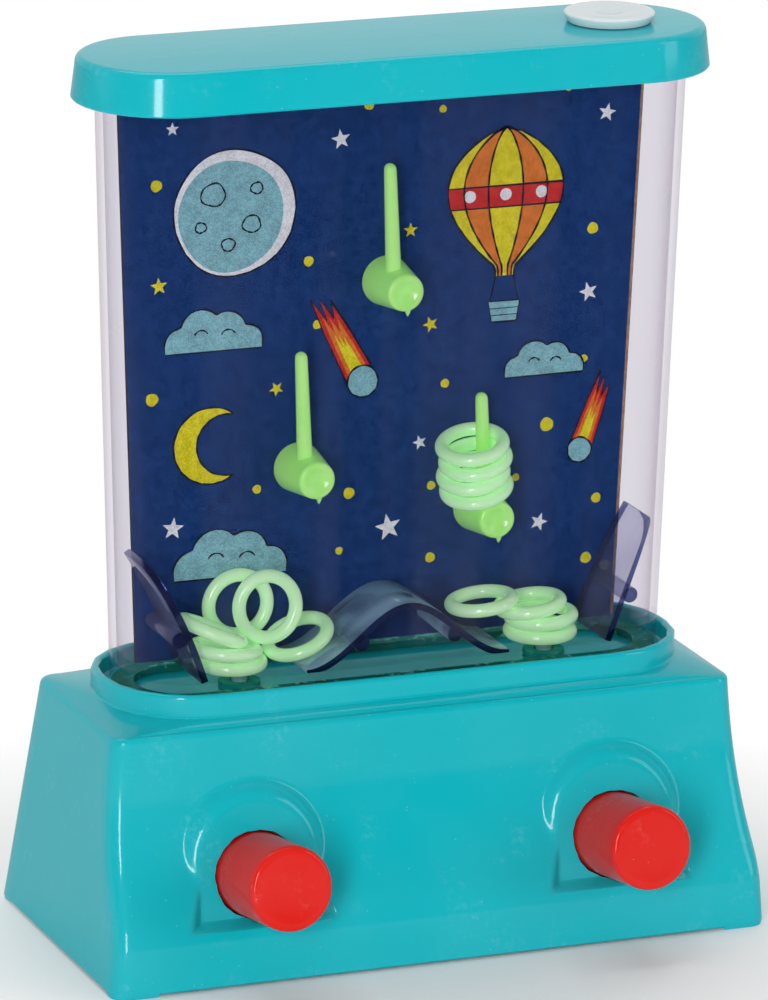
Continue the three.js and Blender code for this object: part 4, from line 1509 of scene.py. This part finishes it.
@dataclass
class Peg:
    """A green peg: a tapered boss with an upright pin and a nib of flash."""

    name: str
    x: float
    z: float
    back: float = 3.2
    length: float = 8.6
    root: float = 3.9
    end: float = 2.85
    lean: float = 0.9 / 19.4
    steps: int = 64
    pin_steps: int = 32
    nib_steps: int = 12

    def build(self) -> bpy.types.Object:
        """Makes the peg.

        Returns:
            The piece.
        """
        top = self.length
        profile: list[Flat] = [(0, -1.6), (1.4, -1.6), (1.5, -1.5), (1.5, 0.0)]
        profile += [(self.root - 0.1, 0.0), (self.root, 0.1)]
        profile += corner(0.6, (self.end - 0.6 + 0.06, top - 0.6), 0, 90, 6)
        profile += [(2.0, top - 0.02), (1.7, top - 0.2), (1.2, top - 0.5), (0.6, top - 0.66), (0, top - 0.7)]
        shape = turned(profile, self.steps, lambda a, b, c: (self.x + a, self.back - c, self.z + b))
        pin: list[Flat] = [(0, 0), (1.3, 0), (1.3, 2.4), (1.21, 3.6), (1.15, 6), (1.06, 12), (0.97, 18.2)]
        pin += corner(0.95, (0.0, 18.45), 8, 90, 6)
        nib = [(0, 0), (0.5, 0), (0.34, 0.5), (0.12, 0.95), (0, 1.05)]
        for part in (
            turned(pin, self.pin_steps, lambda a, b, c: (
                self.x - 0.6 + a - self.lean * c, -1.6 - b, self.z + c
            )),
            turned(nib, self.nib_steps, lambda a, b, c: (self.x + 0.5 + a, -4.6 + b, self.z - 2.75 - c)),
        ):
            shape.add(part.points, part.faces)
        return shape.piece(self.name, [GREEN], smooth=50)


@dataclass
class Ramps:
    """The clear sheets that steer the rings over the two jets, with the rods under them."""

    tank: WaterTank
    back: float = 3.2
    front: float = 9.6
    thickness: float = 1.1
    low: float = 42.7
    half: float = 16.6
    crest: float = 9.0
    rod: float = 1.25
    hump_rod: float = 7.6
    foot: Flat = (32.4, 43.07)
    bend: Flat = (36.0, 53.8)
    tip: Flat = (40.6, 61.2)
    end_rod: Flat = (36.8, 49.7)
    round_low: float = 53.5
    corner_front: float = 2.5
    gap: float = 0.2
    edge_round: float = 0.12
    hump_steps: int = 48
    end_steps: int = 24
    rod_steps: int = 32

    def reach(self, x: float, z: float) -> float:
        """Works out how far forward the tank's inside goes.

        Args:
            x: A place along the tank.
            z: Its height.

        Returns:
            The distance from the middle.
        """
        half_x, half_y = self.tank.halves(z)
        beyond = max(abs(x) - (half_x - half_y), 0)
        return math.sqrt(max((half_y - self.tank.wall - self.gap) ** 2 - beyond ** 2, 0.2))

    def front_at(self, z: float) -> float:
        """Returns how far forward a sheet goes at a height, round at the end ramps' upper corners."""
        rise = min(max(z - self.round_low, 0) / (self.tip[1] - self.round_low), 1)
        return self.corner_front + (self.front - self.corner_front) * math.sqrt(1 - rise ** 2)

    def underside(self, curve: Sequence[Flat]) -> list[Flat]:
        """Moves a curve down by the sheet's thickness, but not into the floor.

        Args:
            curve: The sheet's upper side.

        Returns:
            Its lower side.
        """
        lower = []
        for i, (x, z) in enumerate(curve):
            ax, az = curve[max(i - 1, 0)]
            bx, bz = curve[min(i + 1, len(curve) - 1)]
            step = self.thickness / math.hypot(bx - ax, bz - az)
            lower.append((x + (bz - az) * step, max(z - (bx - ax) * step, self.low)))
        return lower

    def sheet(
        self, curve: Sequence[Flat], rods: Sequence[Flat], name: str, finish: Finish
    ) -> bpy.types.Object:
        """Makes one sheet with its rods.

        Args:
            curve: The sheet's upper side, in x and z.
            rods: The middles of the rods, in x and z.
            name: The object's name.
            finish: The finish of the sheet's faces.

        Returns:
            The sheet, its edges and the rods' ends in the darker finish.
        """
        shape = Shape()
        rings = []
        for (ux, uz), (lx, lz) in zip(curve, self.underside(curve)):
            upper, lower = self.reach(ux, uz), self.reach(lx, lz)
            rings.append([
                (lx, -min(lower, self.front_at(lz)), lz),
                (lx, min(self.back, lower), lz),
                (ux, min(self.back, upper), uz),
                (ux, -min(upper, self.front_at(uz)), uz),
            ])
        shape.loft(rings)
        shape.slots = [i % 2 for i in range(len(shape.slots))]
        for x, z in rods:
            ends = min(self.back, self.reach(x, z)), 0.1 - self.reach(x, z)
            shape.loft([[(x + a, y, z + b) for a, b in circle(self.rod, self.rod_steps)] for y in ends])
            shape.slots[-1] = 1
        piece = shape.piece(name, [finish, EDGE], smooth=50)
        bevelled(piece, self.edge_round, angle=50)
        return piece

    def lift(self, x: float) -> float:
        """Returns how high the hump's underside is over its feet."""
        return self.crest * (1 + math.cos(math.pi * x / self.half)) / 2

    def centre(self) -> bpy.types.Object:
        """Makes the hump.

        Returns:
            The piece.
        """
        places = [float(x) for x in np.linspace(-self.half, self.half, self.hump_steps + 1)]
        curve = [(x, self.low + self.thickness / 2 + self.lift(x)) for x in places]
        rod_z = self.low + self.lift(self.hump_rod) - self.rod
        return self.sheet(curve, [(-self.hump_rod, rod_z), (self.hump_rod, rod_z)], "ramp_hump", HUMP)

    def end(self, side: Side) -> bpy.types.Object:
        """Makes one end ramp.

        Args:
            side: The ramp's side.

        Returns:
            The piece.
        """
        bow = zip(self.foot, self.bend, self.tip)
        along = np.linspace(0, 1, self.end_steps + 1)
        xs, zs = ((1 - along) ** 2 * a + 2 * along * (1 - along) * b + along ** 2 * c for a, b, c in bow)
        curve = list(zip((side.value * xs).tolist(), zs.tolist()))[::side.value]
        rod = (side.value * self.end_rod[0], self.end_rod[1])
        return self.sheet(curve, [rod], "ramp_end_" + side.word, LILAC)


# Geometry Nodes


class Tree(Nodes):
    """A Geometry Nodes tree with named inputs."""

    def __init__(self, name: str, inputs: dict[str, float]) -> None:
        """Makes the tree with its inputs and a geometry output.

        Args:
            name: The tree's name.
            inputs: The named inputs with their values.
        """
        super().__init__(bpy.data.node_groups.new(name, "GeometryNodeTree"))
        sockets = self.tree.interface
        sockets.new_socket("Geometry", in_out="INPUT", socket_type="NodeSocketGeometry")
        self.values: dict[str, float] = {}
        for key, value in inputs.items():
            socket = sockets.new_socket(key, in_out="INPUT", socket_type="NodeSocketFloat")
            self.values[socket.identifier] = value
        sockets.new_socket("Geometry", in_out="OUTPUT", socket_type="NodeSocketGeometry")
        self.source = self.tree.nodes.new("NodeGroupInput")

    def value(self, key: str) -> Wire:
        """Returns a named input."""
        return Wire(self, self.source.outputs[key])

    def dress(self, geometry: Wire, finish: Finish) -> None:
        """Realizes the instances, sets the material and links the output.

        Args:
            geometry: What the tree has made.
            finish: Its finish.
        """
        real = self.node("GeometryNodeRealizeInstances", {}, {"Geometry": geometry})
        inputs = {"Geometry": real, "Material": material(finish)}
        self.close("NodeGroupOutput", self.node("GeometryNodeSetMaterial", {}, inputs))

    def grow(self, name: str) -> bpy.types.Mesh:
        """Runs the tree on a new object.

        Args:
            name: The mesh's name.

        Returns:
            The plain mesh.
        """
        holder = bpy.data.objects.new(name, bpy.data.meshes.new(name + "_start"))
        bpy.context.scene.collection.objects.link(holder)
        modifier = holder.modifiers.new("grow", "NODES")
        modifier.node_group = self.tree
        for identifier, value in self.values.items():
            modifier[identifier] = value
        mesh = modified(holder)
        mesh.name = name
        bpy.data.objects.remove(holder)
        return mesh


@dataclass(frozen=True)
class RingPlace:
    """Where one ring lies: its centre and how far its near side dips and its right side lifts."""

    x: float
    y: float
    z: float
    dip: float
    lift: float


@dataclass
class RingSet:
    """The fourteen loose rings, each swept around a circle by Geometry Nodes."""

    centre_radius: float = 4.7
    tube_radius: float = 1.05
    path_steps: int = 72
    tube_steps: int = 20
    floor: float = 42.6
    places: tuple[RingPlace, ...] = (
        RingPlace(-26.55, -2.98, 1.21, 0.6, -1.3),
        RingPlace(-27.7, -3.96, 3.51, -2.7, -5.5),
        RingPlace(-29.85, -3.98, 6.58, -3.3, -23.5),
        RingPlace(-15.7, -3.36, 4.1, 8.9, 23.3),
        RingPlace(-23.39, 2.17, 8.34, 90.7, 1.2),
        RingPlace(-20.95, -4.06, 9.51, 59.1, 42.3),
        RingPlace(24.33, -3.02, 1.1, 0, 0),
        RingPlace(24.24, -3.6, 3.56, 0, 3.8),
        RingPlace(22.46, -3.24, 5.56, -0.9, 8),
        RingPlace(14.49, -3.08, 6.67, -1.1, 7),
        RingPlace(13.62, -2.35, 24.65, 11.8, 13.9),
        RingPlace(13.06, -2.35, 26.91, 11.9, 12.2),
        RingPlace(13.32, -2.53, 29.19, 12.1, 12.8),
        RingPlace(12.83, -2.35, 31.53, 11.9, 11.1),
    )

    def tree(self) -> Tree:
        """Makes the tree that sweeps a ring.

        Returns:
            The tree.
        """
        sizes = {"Ring Radius": self.centre_radius * MM, "Tube Radius": self.tube_radius * MM}
        tree = Tree("ring_sweep", sizes)
        path, tube = (
            tree.node(
                "GeometryNodeCurvePrimitiveCircle", {}, {"Resolution": steps, "Radius": tree.value(key)}
            )
            for key, steps in zip(sizes, (self.path_steps, self.tube_steps))
        )
        tree.dress(tree.node("GeometryNodeCurveToMesh", {}, {"Curve": path, "Profile Curve": tube}), MINT)
        return tree

    def build(self) -> list[bpy.types.Object]:
        """Makes every ring in its place.

        Returns:
            The pieces in the order of their numbers.
        """
        tree = self.tree()
        rings = []
        for number, place in enumerate(self.places, 1):
            mesh = tree.grow(f"ring_{number:02d}_moulded")
            dip = Matrix.Rotation(math.radians(place.dip), 4, "X")
            lift = Matrix.Rotation(-math.radians(place.lift), 4, "Y")
            centre = Vector((place.x, place.y + SHIFT_Y, place.z + self.floor)) * MM
            mesh.transform(Matrix.Translation(centre) @ dip @ lift)
            rings.append(finished(mesh.name, mesh, smooth=60))
        return rings


@dataclass
class Bellows:
    """A folded rubber bellows behind a button, which is also its return spring."""

    front: float = -7.1
    length: float = 9.0
    outer: float = 6.8
    waist: float = 5.4
    wall: float = 0.8
    folds: int = 3
    steps: int = 30
    facets: int = 48

    @property
    def rear(self) -> float:
        """Returns where the bellows starts on the button's axis."""
        return self.front - self.length

    def skin(self, share: float, inset: float) -> Flat:
        """Works out a point of the folded wall.

        Args:
            share: How far it lies from the rear to the front, as a share of the length.
            inset: How far it lies inside the surface.

        Returns:
            Its radius and its place on the axis.
        """
        middle, swing = (self.outer + self.waist) / 2, (self.outer - self.waist) / 2
        radius = middle + swing * -math.cos(TURN * self.folds * share) - inset
        return radius, self.rear + self.length * share

    def build(self, side: Side) -> bpy.types.Object:
        """Makes the bellows with rounded folds.

        Args:
            side: The button's side.

        Returns:
            The piece.
        """
        steps = self.steps
        outside = [self.skin(i / steps, 0) for i in range(steps + 1)]
        inside = [self.skin(i / steps * 0.91, self.wall) for i in range(steps, -1, -1)]
        profile = [(0, inside[0][1])] + inside + outside + [(0, self.front)]
        folded = turned(profile, self.facets, AXIS.place(side))
        return folded.piece("bellows_" + side.word, [RUBBER], smooth=60)


@dataclass
class CoverScrews:
    """The screws of the bottom cover: heads with cross slots, set by Geometry Nodes."""

    x: float = 44.0
    y: float = 12.4
    head: float = 2.3
    top: float = 1.1
    shank: float = 0.95
    length: float = 10.0
    slot: Flat = (1.3, 0.25)
    steps: int = 40

    def pattern(self) -> bpy.types.Object:
        """Makes one screw at the origin.

        Returns:
            The screw.
        """
        profile: list[Flat] = [(0, -0.75), (1.5, -0.74), (2.0, -0.62)]
        profile += [(self.head, -0.3), (self.head, 0.0), (self.shank, 0.0)]
        for turn in range(9):
            profile += [(self.shank, 0.6 + turn), (self.shank - 0.28, 1.0 + turn)]
        profile += [(self.shank * 0.7, self.length - 0.3), (0, self.length)]
        screw = turned(profile, self.steps, lambda a, b, c: (a, b - SHIFT_Y, c))
        piece = screw.piece("screw_pattern", [STEEL], smooth=30)
        tools = []
        for wide, deep in (self.slot, self.slot[::-1]):
            tool = Shape()
            around = ((wide, deep), (-wide, deep), (-wide, -deep), (wide, -deep))
            tool.loft([[(x, y - SHIFT_Y, z) for x, y in around] for z in (-1.0, -0.35)])
            tools.append(tool.piece("slot"))
        carve(piece, tools, smooth=30)
        return piece

    def build(self) -> bpy.types.Object:
        """Sets the four screws.

        Returns:
            The piece.
        """
        pattern = self.pattern()
        tree = Tree("screw_set", {"Along": self.x * MM, "Across": self.y * MM, "Height": self.top * MM})
        sizes = {"Size X": tree.value("Along") * 2.0, "Size Y": tree.value("Across") * 2.0}
        grid = tree.node("GeometryNodeMeshGrid", {}, {"Vertices X": 2, "Vertices Y": 2, **sizes})
        points = tree.node("GeometryNodeMeshToPoints", {}, {"Mesh": grid})
        screw = tree.node("GeometryNodeObjectInfo", {}, {"Object": pattern}, "Geometry")
        screws = tree.node("GeometryNodeInstanceOnPoints", {}, {"Points": points, "Instance": screw})
        lift = tree.node("ShaderNodeCombineXYZ", {}, {"Y": SHIFT_Y * MM, "Z": tree.value("Height")})
        moved = tree.node("GeometryNodeSetPosition", {}, {"Geometry": screws, "Offset": lift})
        tree.dress(moved, STEEL)
        mesh = tree.grow("cover_screws")
        bpy.data.objects.remove(pattern)
        return finished("cover_screws", mesh, smooth=30)


# Camera, light and floor


@dataclass(frozen=True)
class Studio:
    """The camera at the photograph's viewpoint, soft studio light and a pale floor."""

    azimuth: float = math.radians(21.79)
    elevation: float = math.radians(15.99)
    roll: float = math.radians(0.81)
    focal: float = 7706.6
    distance: float = 1172.2
    aside: float = 0.59
    above: float = 3.97
    aim_z: float = 70.0
    picture_height: float = 1000.0
    sensor: float = 36.0
    floor_half: float = 4.0
    paper: float = 1.0
    dim: float = 0.12
    fill: float = 0.34
    backdrop: Flat = (-0.15, 0.25)
    shadow: Flat = (0.045, 0.11)

    def camera(self) -> None:
        """Sets the camera."""
        a, e, r = self.azimuth, self.elevation, self.roll
        forward = Vector((math.sin(a) * math.cos(e), math.cos(a) * math.cos(e), -math.sin(e)))
        right = Vector((math.cos(a), -math.sin(a), 0))
        up = right.cross(forward)
        across = right * math.cos(r) + up * math.sin(r)
        rising = up * math.cos(r) - right * math.sin(r)
        middle = Vector((0, SHIFT_Y, self.aim_z))
        spot = middle - forward * self.distance - across * self.aside - rising * self.above
        data = bpy.data.cameras.new("camera")
        data.sensor_width = self.sensor
        data.sensor_fit = "AUTO"
        data.lens = self.focal * self.sensor / self.picture_height
        data.clip_start = 0.01
        data.clip_end = 50
        camera = bpy.data.objects.new("camera", data)
        turn = Matrix((across, rising, -forward)).transposed().to_4x4()
        camera.matrix_world = Matrix.Translation(spot * MM) @ turn
        bpy.context.scene.collection.objects.link(camera)
        bpy.context.scene.camera = camera

    def lamp(self, name: str, place: Point, size: Flat, watts: float) -> None:
        """Adds a rectangular softbox that faces the object.

        Args:
            name: The lamp's name.
            place: Where it stands, in metres.
            size: Its width and height in metres.
            watts: Its power.
        """
        data = bpy.data.lights.new(name, "AREA")
        data.shape = "RECTANGLE"
        data.size, data.size_y = size
        data.energy = watts
        lamp = bpy.data.objects.new(name, data)
        spot = Vector(place)
        aim = Vector((0, 0, self.aim_z * MM)) - spot
        lamp.matrix_world = Matrix.Translation(spot) @ aim.to_track_quat("-Z", "Y").to_matrix().to_4x4()
        bpy.context.scene.collection.objects.link(lamp)

    def light(self) -> None:
        """Sets the lamps."""
        self.lamp("softbox_left", place=(-0.66, -1.04, 0.31), size=(0.2, 0.6), watts=8.2)
        self.lamp("softbox_right", place=(1.3, -1.0, 0.6), size=(0.6, 1.0), watts=5.5)
        self.lamp("softbox_top", place=(0.0, 0.35, 1.4), size=(1.2, 0.9), watts=7.5)

    def room(self) -> None:
        """Sets the world: a white backdrop behind the object and a dim room on the camera's side.

        Diffuse light comes evenly from all round. The camera sees white everywhere, and gloss and
        glass see the backdrop only where it is.
        """
        world = bpy.data.worlds.new("studio")
        world.use_nodes = True
        bpy.context.scene.world = world
        sky = Nodes(world.node_tree)
        sky.tree.nodes.clear()
        paper, dim, fill = (
            sky.node("ShaderNodeBackground", {}, {"Color": (1, 1, 1), "Strength": strength})
            for strength in (self.paper, self.dim, self.fill)
        )
        camera, glossy, through = (
            sky.node("ShaderNodeLightPath", {}, {}, f"Is {kind} Ray")
            for kind in ("Camera", "Glossy", "Transmission")
        )
        place = sky.node("ShaderNodeTexCoord", {}, {}, "Generated")
        behind = sky.node("ShaderNodeSeparateXYZ", {}, {0: place}, "Y").ramp(*self.backdrop)
        others = sky.layered(glossy.larger(through), fill, sky.layered(behind, dim, paper))
        sky.close("ShaderNodeOutputWorld", sky.layered(camera, others, paper))

    def floor(self) -> None:
        """Lays the pale floor, which keeps the shadow near the object and is white further away."""
        shader = Shader("pale_floor")
        radius = shader.node("ShaderNodeVectorMath", {"operation": "LENGTH"}, {0: shader.place}, "Value")
        far = shader.node("ShaderNodeLightPath", {}, {}, "Is Camera Ray") * radius.ramp(*self.shadow)
        paper = shader.principled({
            "Base Color": shader.blend(shader.noise(60, 2), (0.93, 0.93, 0.93), (0.95, 0.95, 0.95)),
            "Roughness": 0.9,
        })
        white = shader.node("ShaderNodeEmission", {}, {"Color": (1, 1, 1), "Strength": self.paper})
        mesh = bpy.data.meshes.new("floor")
        half = self.floor_half
        corners = [(-half, -half, 0), (half, -half, 0), (half, half, 0), (-half, half, 0)]
        mesh.from_pydata(corners, [], [(0, 1, 2, 3)])
        mesh.materials.append(shader.finish(shader.layered(far, paper, white)))
        ground = bpy.data.objects.new("floor", mesh)
        bpy.context.scene.collection.objects.link(ground)


def settle(piece: bpy.types.Object, body: str, slot: str, *nodes: str) -> bpy.types.Object:
    """Makes a piece ride on its body and stand for its CAD nodes.

    Args:
        piece: The new piece.
        body: The body that it rides on.
        slot: The record's material slot; not used.
        *nodes: The CAD nodes that it replaces.

    Returns:
        The piece.
    """
    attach(piece, body)
    if nodes:
        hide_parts(*nodes)
    log.info("%s: %d faces, rides on %s", piece.name, len(piece.data.polygons), body)
    return piece


def dress(node: str, finish: Finish) -> None:
    """Gives a carried-over CAD node its finish.

    Args:
        node: The node's name.
        finish: The finish.
    """
    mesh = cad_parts[node].data
    mesh.materials.clear()
    mesh.materials.append(material(finish))
    log.info("%s: finished as %s", node, finish.name)


def pump(side: Side) -> None:
    """Builds one button with its bellows and dresses its duct and seal.

    Args:
        side: The side of the game.
    """
    settle(PushButton().build(side), "button_" + side.word, "red", "button_" + side.word)
    design = Bellows()
    bellows = settle(design.build(side), "root", "rubber", "pump_bellows_" + side.word)
    rear = Vector(AXIS.place(side)(0, 0, design.rear)) + Vector((0, SHIFT_Y, 0))
    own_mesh(bellows)
    dress("pump_duct_" + side.word, GREY)
    dress("jet_seal_" + side.word, SILICONE)


def main() -> None:
    """Builds the pieces in order, then the studio."""
    studio = Studio()
    studio.camera()
    settle(BaseHousing().build(), "root", "teal", "base_housing")
    settle(Lid().build(), "root", "teal", "lid")
    settle(FillPlug().build(), "fill_plug", "white", "fill_plug")
    tank, card = WaterTank(), Card()
    settle(tank.build(), "root", "clear", "water_tank")
    settle(card.build(), "root", "card", "backing_card")
    settle(CardPrint(card).build(), "root", "card")
    for name, x, z in (("upper", 0.5, 99.6), ("left", -13.5, 71.5), ("right", 16.0, 62.6)):
        settle(Peg("peg_" + name + "_moulded", x, z).build(), "root", "green", "peg_" + name)
    ramps = Ramps(tank)
    settle(ramps.centre(), "root", "tinted", "ramp_centre")
    for side in Side:
        settle(ramps.end(side), "root", "tinted", "ramp_" + side.word)
        pump(side)
    for number, ring in enumerate(RingSet().build(), 1):
        name = f"ring_{number:02d}"
        settle(ring, name, "green", name)
    screws = [f"cover_screw_{end}_{side.word}" for end in ("front", "back") for side in Side]
    settle(CoverScrews().build(), "root", "steel", *screws)
    dress("bottom_cover", TEAL)
    dress("tank_gasket", UNDER_FLOOR)
    dress("lid_seal", SILICONE)
    studio.light()
    studio.room()
    studio.floor()
    bpy.context.scene.view_settings.view_transform = "Standard"


if __name__ == "__main__":
    main()
